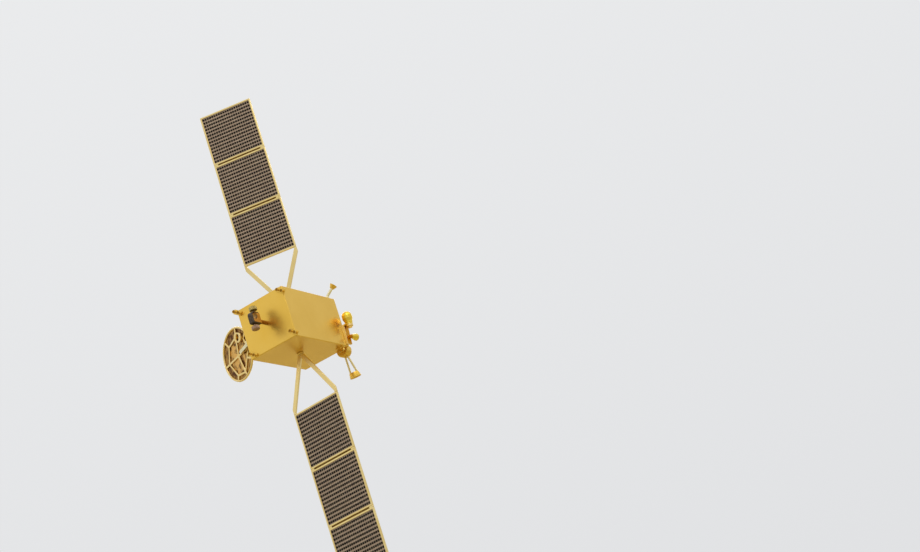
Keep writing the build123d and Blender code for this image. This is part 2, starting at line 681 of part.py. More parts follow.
# Round-topped horn that stands on the shelf
dome_plane = Plane(
    origin=(dome_x, wedge_middle_y, shelf_top_z), x_dir=(1, 0, 0), z_dir=(0, -1, 0)
)
with BuildPart() as horn_dome:
    with BuildSketch(dome_plane):
        with BuildLine():
            Polyline(
                (0, HORN_DOME_HEIGHT),
                (0, 0),
                (HORN_DOME_NECK, 0),
                (HORN_DOME_NECK, HORN_DOME_NECK_HEIGHT),
                (HORN_DOME_RADIUS, HORN_DOME_SHOULDER),
                (HORN_DOME_RADIUS, HORN_DOME_HEIGHT - HORN_DOME_RADIUS),
            )
            RadiusArc(
                (HORN_DOME_RADIUS, HORN_DOME_HEIGHT - HORN_DOME_RADIUS),
                (0, HORN_DOME_HEIGHT),
                -HORN_DOME_RADIUS,
            )
        make_face()
    revolve(axis=Axis(dome_plane.origin, (0, 0, 1)))
save(horn_dome.part, "horn_dome")

# Conical horn on the lower arm, open towards the Earth end
cone_origin = (
    side_face_x + HORN_ARM_REACH - HORN_CONE_THROAT,
    wedge_middle_y + HORN_ARM_WIDTH / 2,
    horn_cone_z,
)
with BuildPart(Plane(origin=cone_origin, x_dir=(1, 0, 0), z_dir=(0, 1, 0))) as horn_cone:
    Cone(HORN_CONE_THROAT, HORN_CONE_MOUTH, HORN_CONE_LENGTH, align=BASE_DOWN)
    with Locations((0, 0, HORN_CONE_LENGTH - HORN_CONE_HOLLOW)):
        Cone(
            HORN_CONE_THROAT,
            HORN_CONE_MOUTH - HORN_CONE_WALL,
            HORN_CONE_HOLLOW,
            align=BASE_DOWN,
            mode=Mode.SUBTRACT,
        )
save(horn_cone.part, "horn_cone")


def antenna_cup(plane, base_radius, mouth_radius, height):
    """Shallow cup with a sloping wall and a flat floor, open along the plane's normal."""
    with BuildPart(plane) as cup:
        Cone(base_radius, mouth_radius, height, align=BASE_DOWN)
        with Locations((0, 0, CUP_WALL)):
            Cone(
                base_radius - CUP_WALL,
                mouth_radius - CUP_WALL,
                height - CUP_WALL,
                align=BASE_DOWN,
                mode=Mode.SUBTRACT,
            )
    return cup.part


# Upper antenna: a leaning rod on a round foot at the top face's right edge
upper_foot = Vector(side_face_x - UPPER_ROD_EDGE_INSET, body_centre_y + UPPER_ROD_Y, top_face_z)
upper_lean = Vector(cos(radians(UPPER_ROD_TURN)), sin(radians(UPPER_ROD_TURN)), 0)
upper_dir = upper_lean * sin(radians(UPPER_ROD_TILT)) + Vector(0, 0, cos(radians(UPPER_ROD_TILT)))
upper_rod_lift = UPPER_ROD_RADIUS * sin(radians(UPPER_ROD_TILT)) + ROD_SEAT_GAP
upper_rod_plane = Plane(origin=upper_foot + Vector(0, 0, upper_rod_lift), z_dir=upper_dir)
with BuildPart() as upper_antenna_rod:
    with BuildSketch(Plane.XY.offset(top_face_z)):
        with Locations((upper_foot.X, upper_foot.Y)):
            Circle(UPPER_FOOT_RADIUS)
    extrude(amount=UPPER_FOOT_HEIGHT)
    with BuildSketch(upper_rod_plane):
        Circle(UPPER_ROD_RADIUS)
    extrude(amount=UPPER_ROD_LENGTH)
save(upper_antenna_rod.part, "upper_antenna_rod")
upper_cup_plane = upper_rod_plane.offset(UPPER_ROD_LENGTH)
save(antenna_cup(upper_cup_plane, CUP_BASE_RADIUS, CUP_RADIUS, CUP_HEIGHT), "upper_antenna_cup")

# Lower antenna: a drum on the Earth face, two rods down from it and a cup
drum_plane = Plane.XZ.offset(-earth_face_y)
drum_x = side_face_x - DRUM_SIDE_INSET
with BuildPart() as lower_antenna_drum:
    with BuildSketch(drum_plane):
        with Locations((drum_x, bottom_face_z)):
            Circle(DRUM_RADIUS)
    extrude(amount=-DRUM_LENGTH)
    fillet(lower_antenna_drum.edges().group_by(Axis.Y)[-1], DRUM_EDGE_RADIUS)
save(lower_antenna_drum.part, "lower_antenna_drum")
rods_y = earth_face_y + DRUM_LENGTH / 2
lean_dir = Vector(0, sin(radians(LOWER_ROD_LEAN)), -cos(radians(LOWER_ROD_LEAN)))
rods_plane = Plane(origin=(drum_x, rods_y, bottom_face_z), x_dir=(1, 0, 0), z_dir=lean_dir)
rods_start = DRUM_RADIUS - ROD_BITE
rods_end = DRUM_RADIUS + LOWER_ROD_LENGTH
with BuildPart() as lower_antenna_rods:
    for side in (-1, 1):
        with BuildSketch(rods_plane.offset(rods_start)):
            with Locations((side * LOWER_ROD_TOP_SPREAD, 0)):
                Circle(LOWER_ROD_RADIUS)
        with BuildSketch(rods_plane.offset(rods_end)):
            with Locations((side * LOWER_ROD_BOTTOM_SPREAD, 0)):
                Circle(LOWER_ROD_RADIUS)
        loft()
    add(lower_antenna_drum.part, mode=Mode.SUBTRACT)
save(lower_antenna_rods.part, "lower_antenna_rods")
lower_cup = antenna_cup(
    rods_plane.offset(rods_end), LOWER_CUP_BASE_RADIUS, LOWER_CUP_RADIUS, LOWER_CUP_HEIGHT
)
save(lower_cup, "lower_antenna_cup")

# Earth face: round array plate, its raised elements and a small sensor
array_plane = Plane(origin=(0, earth_face_y, body_centre_z), x_dir=(-1, 0, 0), z_dir=(0, 1, 0))
with BuildPart() as array_plate:
    with BuildSketch(array_plane):
        Circle(ARRAY_RADIUS)
    extrude(amount=ARRAY_THICKNESS)
save(array_plate.part, "array_plate")
with BuildPart() as array_elements:
    with BuildSketch(array_plane.offset(ARRAY_THICKNESS)):
        Circle(ELEMENT_RADIUS)
        with PolarLocations(ELEMENT_RING_RADIUS, ELEMENT_COUNT):
            Circle(ELEMENT_RADIUS)
    extrude(amount=ELEMENT_HEIGHT)
save(array_elements.part, "array_elements")
with BuildPart() as earth_sensor:
    with BuildSketch(array_plane):
        with PolarLocations(
            ARRAY_RADIUS + SENSOR_SPACING, 1, start_angle=SENSOR_ANGLE, rotate=False
        ):
            Rectangle(SENSOR_SIZE, SENSOR_SIZE)
    extrude(amount=SENSOR_SIZE)
save(earth_sensor.part, "earth_sensor")
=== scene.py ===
"""Gold display model of a satellite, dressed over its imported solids.

Lengths are in millimetres up to the moment a mesh is made, where they become metres.
"""
import json
from math import cos, radians, sin

import bmesh
import bpy
import numpy as np
from mathutils import Matrix, Vector


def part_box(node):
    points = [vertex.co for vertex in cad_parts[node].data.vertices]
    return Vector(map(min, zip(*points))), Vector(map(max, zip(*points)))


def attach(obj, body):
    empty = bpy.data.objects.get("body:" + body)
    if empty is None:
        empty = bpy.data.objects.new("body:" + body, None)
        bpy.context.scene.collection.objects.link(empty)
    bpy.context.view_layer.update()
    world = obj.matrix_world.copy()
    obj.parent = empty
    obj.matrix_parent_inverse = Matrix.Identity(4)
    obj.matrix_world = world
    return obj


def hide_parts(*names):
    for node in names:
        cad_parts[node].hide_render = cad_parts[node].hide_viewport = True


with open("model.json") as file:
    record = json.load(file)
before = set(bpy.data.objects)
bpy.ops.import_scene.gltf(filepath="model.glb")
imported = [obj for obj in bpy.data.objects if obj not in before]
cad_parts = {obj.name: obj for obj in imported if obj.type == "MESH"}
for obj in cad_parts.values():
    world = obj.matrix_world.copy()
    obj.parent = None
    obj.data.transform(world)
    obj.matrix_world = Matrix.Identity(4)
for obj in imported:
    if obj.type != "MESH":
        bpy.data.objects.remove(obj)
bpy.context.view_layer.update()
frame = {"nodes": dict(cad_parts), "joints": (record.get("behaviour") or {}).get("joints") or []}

# Camera and studio
# The model hangs above head height, so the camera stands at floor level and looks up past the body.
# Floor and sky are plain and pale, and wide soft lights give the lacquer its long gradients.
PICTURE_PIXELS = 920
FOCAL_PIXELS = 1531
SENSOR_WIDTH = 36.0
CAMERA_PLACE = (1.3224, -2.0183, -0.9473)
CAMERA_RIGHT = (0.80495, 0.50300, -0.31473)
CAMERA_UP = (0.44338, -0.15742, 0.88240)
CAMERA_BACK = (0.39430, -0.84983, -0.34973)
FLOOR_HEIGHT = -0.965
FLOOR_SIZE = 14.0
FLOOR_COLOUR = "#c0b588"
FLOOR_ROUGHNESS = 0.9
SKY_LOW = "#dfe0e2"
SKY_HIGH = "#f2f3f4"
SKY_STRENGTH = 1.0


def linear(colour):
    """Linear red, green, blue and alpha of an sRGB hex colour."""
    parts = [int(colour[start : start + 2], 16) / 255 for start in (1, 3, 5)]
    return [p / 12.92 if p <= 0.04045 else ((p + 0.055) / 1.055) ** 2.4 for p in parts] + [1.0]


def add_node(tree, kind, settings=None, values=None, links=None):
    """Add a node, set its settings and input values, and link its inputs to (node, output)."""
    node = tree.nodes.new(kind)
    for name, value in (settings or {}).items():
        setattr(node, name, value)
    for name, value in (values or {}).items():
        node.inputs[name].default_value = value
    for name, (source, output) in (links or {}).items():
        tree.links.new(source.outputs[output], node.inputs[name])
    return node


camera_data = bpy.data.cameras.new("camera")
camera_data.sensor_width = SENSOR_WIDTH
camera_data.lens = FOCAL_PIXELS * SENSOR_WIDTH / PICTURE_PIXELS
camera = bpy.data.objects.new("camera", camera_data)
camera_turn = Matrix((CAMERA_RIGHT, CAMERA_UP, CAMERA_BACK)).transposed().to_4x4()
camera.matrix_world = Matrix.Translation(CAMERA_PLACE) @ camera_turn
bpy.context.scene.collection.objects.link(camera)
bpy.context.scene.camera = camera
bpy.context.scene.view_settings.view_transform = "Standard"

world = bpy.data.worlds.new("studio")
bpy.context.scene.world = world
world.use_nodes = True
sky = world.node_tree
sky_place = add_node(sky, "ShaderNodeTexCoord")
sky_height = add_node(sky, "ShaderNodeSeparateXYZ", links={"Vector": (sky_place, "Generated")})
sky_ramp = add_node(sky, "ShaderNodeValToRGB", links={"Fac": (sky_height, "Z")})
sky_ramp.color_ramp.elements[0].color = linear(SKY_LOW)
sky_ramp.color_ramp.elements[1].color = linear(SKY_HIGH)
sky.links.new(sky_ramp.outputs["Color"], sky.nodes["Background"].inputs["Color"])
sky.nodes["Background"].inputs["Strength"].default_value = SKY_STRENGTH

floor_material = bpy.data.materials.new("pale_paper_floor")
floor_material.use_nodes = True
floor_shader = floor_material.node_tree.nodes["Principled BSDF"]
floor_shader.inputs["Base Color"].default_value = linear(FLOOR_COLOUR)
floor_shader.inputs["Roughness"].default_value = FLOOR_ROUGHNESS
floor_mesh = bpy.data.meshes.new("floor")
half_floor = FLOOR_SIZE / 2
floor_corners = [
    (x * half_floor, y * half_floor, FLOOR_HEIGHT) for x, y in ((-1, -1), (1, -1), (1, 1), (-1, 1))
]
floor_mesh.from_pydata(floor_corners, [], [(0, 1, 2, 3)])
floor_mesh.materials.append(floor_material)
floor = bpy.data.objects.new("floor", floor_mesh)
bpy.context.scene.collection.objects.link(floor)

# Name, place in metres, width in metres, power in watts, colour
LIGHTS = (
    ("key", (2.3, -1.7, 2.8), 2.4, 34.0, "#fff8ea"),
    ("right_fill", (2.6, 1.2, 2.6), 2.0, 12.0, "#f6f6ff"),
    ("back", (-1.4, 2.6, 1.4), 2.0, 30.0, "#ffffff"),
    ("left_low", (-1.81, -2.16, 1.03), 1.6, 1.2, "#fff6e0"),
)
MODEL_MIDDLE = Vector((0.0, 0.11, 0.0))
for name, place, width, power, colour in LIGHTS:
    light_data = bpy.data.lights.new(name, "AREA")
    light_data.shape = "DISK"
    light_data.size = width
    light_data.energy = power
    light_data.color = linear(colour)[:3]
    light = bpy.data.objects.new(name, light_data)
    aim = (MODEL_MIDDLE - Vector(place)).to_track_quat("-Z", "Y").to_matrix().to_4x4()
    light.matrix_world = Matrix.Translation(place) @ aim
    bpy.context.scene.collection.objects.link(light)

# Body
# The real body is a plain hollow box of sheet, sprayed and polished in gold lacquer, with no
# panel lines. The lacquer is smooth and half glossy, so it mirrors its neighbours as soft stains.
MM = 0.001
# The noise stays mostly between these two values, so they carry the whole change of a finish
NOISE_LOW = 0.3
NOISE_HIGH = 0.7


def finish(name, colours, gloss, drift, grain, relief, **values):
    """A material that wanders between two colours and two roughnesses over drift millimetres.

    A finer noise, grain millimetres wide and relief millimetres high, is its bump. The values go
    on the shader's own sockets.
    """
    material = bpy.data.materials.new(name)
    material.use_nodes = True
    tree = material.node_tree
    shader = tree.nodes["Principled BSDF"]
    for socket, value in values.items():
        shader.inputs[socket].default_value = value
    place = add_node(tree, "ShaderNodeTexCoord")
    patches = add_node(
        tree,
        "ShaderNodeTexNoise",
        values={"Scale": 1 / (drift * MM), "Detail": 3.0},
        links={"Vector": (place, "Object")},
    )
    tint = add_node(tree, "ShaderNodeValToRGB", links={"Fac": (patches, "Fac")})
    for stop, position, colour in zip(tint.color_ramp.elements, (NOISE_LOW, NOISE_HIGH), colours):
        stop.position = position
        stop.color = linear(colour)
    tree.links.new(tint.outputs["Color"], shader.inputs["Base Color"])
    polish = add_node(
        tree,
        "ShaderNodeMapRange",
        values={"From Min": NOISE_LOW, "From Max": NOISE_HIGH, "To Min": gloss[0], "To Max": gloss[1]},
        links={"Value": (patches, "Fac")},
    )
    tree.links.new(polish.outputs["Result"], shader.inputs["Roughness"])
    skin = add_node(
        tree,
        "ShaderNodeTexNoise",
        values={"Scale": 1 / (grain * MM), "Detail": 1.0},
        links={"Vector": (place, "Object")},
    )
    bump = add_node(
        tree,
        "ShaderNodeBump",
        values={"Strength": 1.0, "Distance": relief * MM},
        links={"Height": (skin, "Fac")},
    )
    tree.links.new(bump.outputs["Normal"], shader.inputs["Normal"])
    return material


# Gold lacquer over filled and rubbed sheet: an even yellow metal with a faint orange peel
gold_lacquer = finish(
    "gold_lacquered_sheet", ("#e2b74c", "#eac25c"), (0.31, 0.38), 60.0, 6.0, 0.004, Metallic=1.0
)


def dress(node, material):
    """Give a solid that stays in view its finish."""
    mesh = frame["nodes"][node].data
    mesh.materials.clear()
    mesh.materials.append(material)


def solid_box(node):
    """Lowest and highest corner of a solid, and its middle, in millimetres."""
    low, high = (np.array(corner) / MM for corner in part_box(node))
    return low, high, (low + high) / 2


dress("bus_body", gold_lacquer)
body_high, body_middle = solid_box("bus_body")[1:]
side_x, earth_y, top_z = body_high

# Hanging clamp
# A dull steel strap is bent round the bore and held to a brass saddle by two thumb screws with
# milled round knobs, brass above and nickel below. A browned steel rod runs into the body.
ROUND_STEPS = 64
# A direction that is no piece's axis, which fixes where each turned form starts
ROUND_START = (0.31, 0.27, 0.91)
# Largest share of a line's leg that a softened corner takes
CORNER_SHARE = 0.45
TOOTH_STEPS = 6
BEVEL_STEPS = 2
# Points closer than the first become one, and edges shorter than the second are removed
MERGE_DISTANCE = 0.001
SHORTEST_EDGE = 0.0001
BORE_RADIUS = 6.0
STRAP_THICKNESS = 2.0
STRAP_EDGE = 0.5
STRAP_END = 11.8
STRAP_BEND = 1.6
STRAP_STRAIGHT = 0.5
STRAP_STEPS = 17
CLAMP_WIDTH = 10.0
SADDLE_DROP = 12.0
SADDLE_START = 1.0
SADDLE_END = 14.0
SADDLE_EDGE = 0.5
SADDLE_STEPS = 25
BLOCK_CREASE = 40.0
SEAT_GAP = 0.1
# Screw's place along the body, direction away from the bore, height of the saddle's face
SCREWS = ((6.8, 1, BORE_RADIUS), (-1.5, -1, SADDLE_DROP))
SCREW_STEM = 4.0
SCREW_BITE = 2.5
SCREW_RADIUS = 1.6
KNOB_RADIUS = 7.0
KNOB_HEIGHT = 7.0
KNOB_NECK = 3.2
KNOB_BASE_EDGE = 1.0
KNOB_TOP_EDGE = 1.2
KNOB_EDGE = 0.4
# Outer and inner radius of the sloping step in the knob's end, and its depth
KNOB_STEP = (3.4, 2.8, 0.5)
KNOB_TEETH = 30
KNOB_TOOTH_DEPTH = 0.45
TOOTHED_BAND = 0.3
ROD_RADIUS = 3.5
ROD_START = 10.1
ROD_END = 45.4
ROD_EDGE = 0.4


def unit(vector):
    """The vector at length one."""
    vector = np.array(vector, float)
    return vector / np.linalg.norm(vector)


def arc(centre, radii, angles):
    """Points round a centre: for each angle, the centre plus the radii times its cosine and sine."""
    return np.array(centre) + np.array(radii) * np.column_stack((np.cos(angles), np.sin(angles)))


def patch(grid, wrap=False):
    """Points of a grid and a list with the array of its four-sided faces.

    Each face joins a point to the next in its row and its column, and wrap joins the last column
    to the first.
    """
    rows, columns = grid.shape[:2]
    index = np.arange(rows * columns).reshape(rows, columns)
    if wrap:
        index = np.concatenate((index, index[:, :1]), axis=1)
    corners = (index[:-1, :-1], index[:-1, 1:], index[1:, 1:], index[1:, :-1])
    return grid.reshape(-1, 3), [np.stack(corners, axis=-1).reshape(-1, 4)]


def capped(grid):
    """Faces round a stack of closed rings, with one flat face over the first and the last ring."""
    points, faces = patch(grid, wrap=True)
    count = grid.shape[1]
    caps = np.arange(count) + np.array([[0], [len(points) - count]])
    return points, faces + [caps]


def lathe(profile, origin, axis, teeth=0, tooth_depths=None):
    """Turned form: each (radius, height) of the profile goes once round the axis.

    With teeth, each point's radius is cut by its own tooth depth times a cosine round the axis.
    """
    radius, height = np.array(profile, float).T
    axis = unit(axis)
    across = unit(np.cross(axis, ROUND_START))
    angle = np.linspace(0, 2 * np.pi, TOOTH_STEPS * teeth or ROUND_STEPS, endpoint=False)
    circle = np.cos(angle)[:, None] * across + np.sin(angle)[:, None] * np.cross(axis, across)
    reach = np.repeat(radius[:, None], len(angle), axis=1)
    if teeth:
        reach = reach - tooth_depths[:, None] * (0.5 + 0.5 * np.cos(teeth * angle))
    grid = np.array(origin) + height[:, None, None] * axis + reach[:, :, None] * circle
    return patch(grid, wrap=True)


def soften(profile, size, steps=4):
    """The same line with each inner corner turned into a short curve that starts size before it.

    The curve is start, corner and end weighted by (1 - t) squared, 2t(1 - t) and t squared.
    """
    profile = np.array(profile, float)
    t = np.linspace(0, 1, steps + 1)[:, None]
    line = [profile[:1]]
    for before, corner, after in zip(profile, profile[1:], profile[2:]):
        start, end = (
            corner + unit(leg) * min(size, np.linalg.norm(leg) * CORNER_SHARE)
            for leg in (before - corner, after - corner)
        )
        line.append((1 - t) ** 2 * start + 2 * t * (1 - t) * corner + t**2 * end)
    return np.vstack(line + [profile[-1:]])


def cylinder(radius, length):
    """Profile of a plain cylinder: out along one end, up at the radius, in along the other end."""
    return [(0, 0), (radius, 0), (radius, length), (0, length)]


def sweep(path, side, section):
    """A closed section carried along a path in the plane whose normal is side.

    The section's points are (step along side, step along the cross product of path and side), and
    both ends are capped.
    """
    path = np.array(path, float)
    side = unit(side)
    ahead = np.gradient(path, axis=0)
    ahead /= np.linalg.norm(ahead, axis=1)[:, None]
    outward = np.cross(ahead, side)
    along, out = np.array(section, float).T
    return capped(path[:, None] + along[None, :, None] * side + out[None, :, None] * outward[:, None])


def rounded_box(width, height, edge, steps=3):
    """Outline of a rectangle about its middle, its corners rounded to an edge radius."""
    quarter = np.linspace(0, np.pi / 2, steps + 1)
    half = np.array((width, height)) / 2 - edge
    corners = ((1, 1), (-1, 1), (-1, -1), (1, -1))
    return np.vstack(
        [arc(half * corner, edge, quarter + turn * np.pi / 2) for turn, corner in enumerate(corners)]
    )


def prism(outline, axes, origin, low, high):
    """A flat outline on the first two axes, carried along the third from low to high."""
    outline = np.array(outline, float)
    rings = [np.insert(outline, 2, level, axis=1) for level in (low, high)]
    return capped(np.array(rings) @ np.array(axes) + origin)


def make_piece(name, patches, body, nodes, bevel=0.0, crease=35.0):
    """One closed piece from a dictionary of materials, each with its patches of points and faces.

    Doubled points are merged and faces point outwards. Edges sharper than crease degrees are
    rounded to bevel millimetres, or stay crisp where there is no bevel.
    """
    points = np.empty((0, 3))
    faces = []
    numbers = []
    for number, group in enumerate(patches.values()):
        for patch_points, patch_faces in group:
            for block in patch_faces:
                faces += (block + len(points)).tolist()
                numbers += [number] * len(block)
            points = np.vstack((points, patch_points))
    mesh = bpy.data.meshes.new(name)
    mesh.from_pydata(points * MM, [], faces)
    mesh.polygons.foreach_set("material_index", numbers)
    shape = bmesh.new()
    shape.from_mesh(mesh)
    bmesh.ops.remove_doubles(shape, verts=shape.verts, dist=MERGE_DISTANCE * MM)
    bmesh.ops.dissolve_degenerate(shape, edges=shape.edges, dist=SHORTEST_EDGE * MM)
    bmesh.ops.recalc_face_normals(shape, faces=shape.faces)
    shape.to_mesh(mesh)
    shape.free()
    mesh.shade_smooth()
    for material in patches:
        mesh.materials.append(material)
    piece = bpy.data.objects.new(name, mesh)
    bpy.context.scene.collection.objects.link(piece)
    if bevel:
        edges = piece.modifiers.new("rounded_edges", "BEVEL")
        edges.width = bevel * MM
        edges.segments = BEVEL_STEPS
        edges.angle_limit = radians(crease)
        edges.harden_normals = True
    else:
        mesh.set_sharp_from_angle(angle=radians(crease))
    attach(piece, body)
    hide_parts(*nodes)
    return piece


# Bent mild steel, nearly black with a soft broken shine
dull_steel = finish(
    "near_black_bent_steel", ("#3a322c", "#6a5d50"), (0.38, 0.55), 3.0, 0.8, 0.03, Metallic=1.0
)
# Milled brass rim, in the screw's own pale brass
knob_brass = finish(
    "pale_milled_brass", ("#b09a5c", "#c4af6e"), (0.35, 0.48), 4.0, 0.5, 0.02, Metallic=1.0
)
# The same brass on the screw's faces and stem, darkened to olive brown as painted shade
knob_faces_painted_shade = finish(
    "painted_shade_knob_faces", ("#857440", "#9b8a50"), (0.42, 0.55), 4.0, 0.5, 0.02, Metallic=1.0
)
# Worn nickel plate over the lower screw, so it is a warm grey
knob_nickel = finish(
    "worn_nickel_plate", ("#9a7a60", "#b59678"), (0.35, 0.5), 4.0, 0.5, 0.02, Metallic=1.0
)
# Browned steel: a thin even oxide, drawn smooth
brown_steel = finish(
    "browned_steel_rod", ("#9c6c36", "#b5844a"), (0.38, 0.5), 5.0, 0.7, 0.015, Metallic=1.0
)
# The saddle is sawn brass that went brown in the hand, so it is duller than the body
saddle_brass = finish(
    "browned_sawn_brass", ("#bb9258", "#cfa66c"), (0.32, 0.45), 6.0, 0.8, 0.02, Metallic=1.0
)

strap_line = BORE_RADIUS + STRAP_THICKNESS / 2
strap_foot = -SADDLE_DROP - STRAP_THICKNESS / 2
strap_turn = np.linspace(np.pi / 2, np.pi, STRAP_STEPS)
strap_back = [(-strap_line, -STRAP_STRAIGHT), (-strap_line, strap_foot), (STRAP_END, strap_foot)]
strap_path = np.vstack(
    ((STRAP_END, strap_line), arc((0, 0), strap_line, strap_turn), soften(strap_back, STRAP_BEND))
)
# The path is drawn along the body and up, in the middle of the clamp's width
strap_path = np.insert(strap_path, 0, 0.0, axis=1)
strap = sweep(strap_path, (1, 0, 0), rounded_box(CLAMP_WIDTH, STRAP_THICKNESS, STRAP_EDGE))
make_piece("clamp_strap_band", {dull_steel: [strap]}, "bus", ["clamp_strap"])

saddle_low = SEAT_GAP - BORE_RADIUS
saddle_turn = np.linspace(-np.pi / 2, np.pi / 2, SADDLE_STEPS)
saddle_hollow = arc((0, 0), BORE_RADIUS, saddle_turn)
saddle_hollow = saddle_hollow[saddle_hollow[:, 0] > SADDLE_START]
saddle_outline = [
    (SADDLE_START, saddle_hollow[-1, 1]),
    (SADDLE_START, BORE_RADIUS - SEAT_GAP),
    (SADDLE_END, BORE_RADIUS - SEAT_GAP),
    (SADDLE_END, SEAT_GAP - SADDLE_DROP),
    (saddle_low, SEAT_GAP - SADDLE_DROP),
    (saddle_low, -BORE_RADIUS - SEAT_GAP),
    (SADDLE_START, -BORE_RADIUS - SEAT_GAP),
    (SADDLE_START, saddle_hollow[0, 1]),
]
saddle_axes = ((0, 1, 0), (0, 0, 1), (1, 0, 0))
saddle_outline = np.vstack((saddle_outline, saddle_hollow))
saddle = prism(saddle_outline, saddle_axes, (0, 0, 0), -CLAMP_WIDTH / 2, CLAMP_WIDTH / 2)
make_piece(
    "clamp_saddle_block", {saddle_brass: [saddle]}, "bus", ["clamp_saddle"],
    SADDLE_EDGE, BLOCK_CREASE,
)

rims = []
turned = []
step_outer, step_inner, step_depth = KNOB_STEP
for screw_y, direction, face in SCREWS:
    knob_start = face + STRAP_THICKNESS + SCREW_STEM
    knob_end = knob_start + KNOB_HEIGHT
    stem = [(0, face - SCREW_BITE), (SCREW_RADIUS, face - SCREW_BITE), (SCREW_RADIUS, knob_start)]
    knob = soften(
        [
            (KNOB_NECK, knob_start),
            (KNOB_RADIUS - KNOB_BASE_EDGE, knob_start),
            (KNOB_RADIUS, knob_start + KNOB_BASE_EDGE),
            (KNOB_RADIUS, knob_end - KNOB_TOP_EDGE),
            (KNOB_RADIUS - KNOB_TOP_EDGE, knob_end),
            (step_outer, knob_end),
            (step_inner, knob_end - step_depth),
            (0, knob_end - step_depth),
        ],
        KNOB_EDGE,
    )
    profile = np.vstack((stem, knob))
    # Only what lies close to the knob's full radius is toothed
    depths = np.where(profile[:, 0] > KNOB_RADIUS - TOOTHED_BAND, KNOB_TOOTH_DEPTH, 0.0)
    rim_start, rim_end = np.flatnonzero(depths)[[0, -1]]
    place = (0, screw_y, 0)
    for group, part in (
        (turned, slice(0, rim_start + 1)),
        (rims, slice(rim_start, rim_end + 1)),
        (turned, slice(rim_end, None)),
    ):
        group.append(lathe(profile[part], place, (0, 0, direction), KNOB_TEETH, depths[part]))
# The first screw is brass, with painted shade on its faces and stem, and the whole second one is nickel
screw_patches = {
    knob_faces_painted_shade: turned[:2],
    knob_brass: rims[:1],
    knob_nickel: turned[2:] + rims[1:],
}
make_piece("thumb_screws", screw_patches, "bus", ["clamp_screws"])

rod_profile = soften(cylinder(ROD_RADIUS, ROD_END - ROD_START), ROD_EDGE)
rod = lathe(rod_profile, (0, ROD_START, body_middle[2]), (0, 1, 0))
make_piece("holder_bar", {brown_steel: [rod]}, "bus", ["holder_rod"])

# Wings
# Each wing turns on a pin at the body's face. Two flat bars make a V up to three shallow pressed
# trays, which a strip joins across each gap. All is pale gold lacquer; the gaps are painted shade.
PANEL_COUNT = 3
PANEL_WIDTH = 100.0
PANEL_LENGTH = 101.6
PANEL_THICKNESS = 3.5
PANEL_GAP = 2.8
RIM_WIDTH = 3.0
TRAY_FLOOR = 1.5
BACK_BORDER = 7.0
BACK_DEPTH = 0.5
BACK_SLOPE = 0.6
TRAY_CORNER = 1.2
SMALLEST_CORNER = 0.3
# How far a rounded edge starts before the corner, and how far its middle is cut back
WING_EDGE = 0.45
WING_CUT = 0.13
RIM_EDGE = 0.35
RIM_CUT = 0.1
LINK_WIDTH = 8.0
LINK_WEB = 1.2
LINK_GAP = 0.05
LINK_SINK = 0.1
YOKE_LENGTH = 95.0
YOKE_LEG = 6.0
YOKE_ARM_WIDTH = 7.4
YOKE_LEG_WIDTH = 5.0
HUB_RADIUS = 6.5
HUB_LIFT = 0.4
HUB_HEIGHT = 2.0
HUB_TAPER = 0.4
HUB_EDGE = 0.5
PIN_RADIUS = 3.0
PIN_LENGTH = 14.0
# Direction of the wing away from the body, its turn from straight across in degrees
WINGS = {"upper": (1, 19.0), "lower": (-1, -4.0)}

# The same lacquer over thin bright strip, so it looks paler
pale_gold = finish(
    "pale_gold_lacquered_strip", ("#e2c781", "#edd796"), (0.3, 0.38), 40.0, 1.2, 0.008, Metallic=1.0
)
# Lacquer in the narrow gaps, brown and dull: painted shade between the panels
gap_painted_shade_gold = finish(
    "gap_lacquer_painted_shade", ("#7c6026", "#987838"), (0.5, 0.65), 20.0, 1.0, 0.02, Metallic=1.0
)


def tray(middle, axes, size, corner, profile):
    """Rounded rectangles stacked by a profile of (inset from the outline, level), capped flat."""
    rings = []
    for inset, level in profile:
        edge = max(corner - inset, SMALLEST_CORNER)
        outline = rounded_box(size[0] - 2 * inset, size[1] - 2 * inset, edge)
        rings.append(np.insert(outline, 2, level, axis=1))
    return capped(np.array(rings) @ np.array(axes) + middle)


def panel_height(number):
    """Distance from the wing's foot up to the middle of a panel, which is counted from 0."""
    return YOKE_LENGTH + PANEL_LENGTH / 2 + number * (PANEL_LENGTH + PANEL_GAP)


half_thick = PANEL_THICKNESS / 2
floor_level = TRAY_FLOOR - half_thick
TRAY_PROFILE = (
    (BACK_BORDER + 2 * BACK_SLOPE, BACK_DEPTH - half_thick),
    (BACK_BORDER + BACK_SLOPE, BACK_DEPTH - half_thick),
    (BACK_BORDER, -half_thick),
    (WING_EDGE, -half_thick),
    (WING_CUT, WING_CUT - half_thick),
    (0.0, WING_EDGE - half_thick),
    (0.0, half_thick - WING_EDGE),
    (WING_CUT, half_thick - WING_CUT),
    (WING_EDGE, half_thick),
    (RIM_WIDTH - RIM_EDGE, half_thick),
    (RIM_WIDTH - RIM_CUT, half_thick - RIM_CUT),
    (RIM_WIDTH, half_thick - RIM_EDGE),
    (RIM_WIDTH, floor_level),
)
arm_half = YOKE_ARM_WIDTH / 2
hub_top = HUB_LIFT + HUB_HEIGHT
leg_outer = PANEL_WIDTH / 2
leg_inner = leg_outer - YOKE_LEG_WIDTH
arm_sine, arm_cosine = unit(((leg_outer + leg_inner) / 2, YOKE_LENGTH - YOKE_LEG))
ARM_OUTLINE = (
    (0, hub_top),
    ((hub_top * arm_sine + arm_half) / arm_cosine, hub_top),
    (leg_outer, (arm_cosine * leg_outer - arm_half) / arm_sine),
    (leg_outer, YOKE_LENGTH),
    (leg_inner, YOKE_LENGTH),
    (leg_inner, (arm_cosine * leg_inner + arm_half) / arm_sine),
    (0, arm_half / arm_sine),
)
web_level = LINK_WEB - half_thick
block_inner = leg_outer - LINK_WIDTH
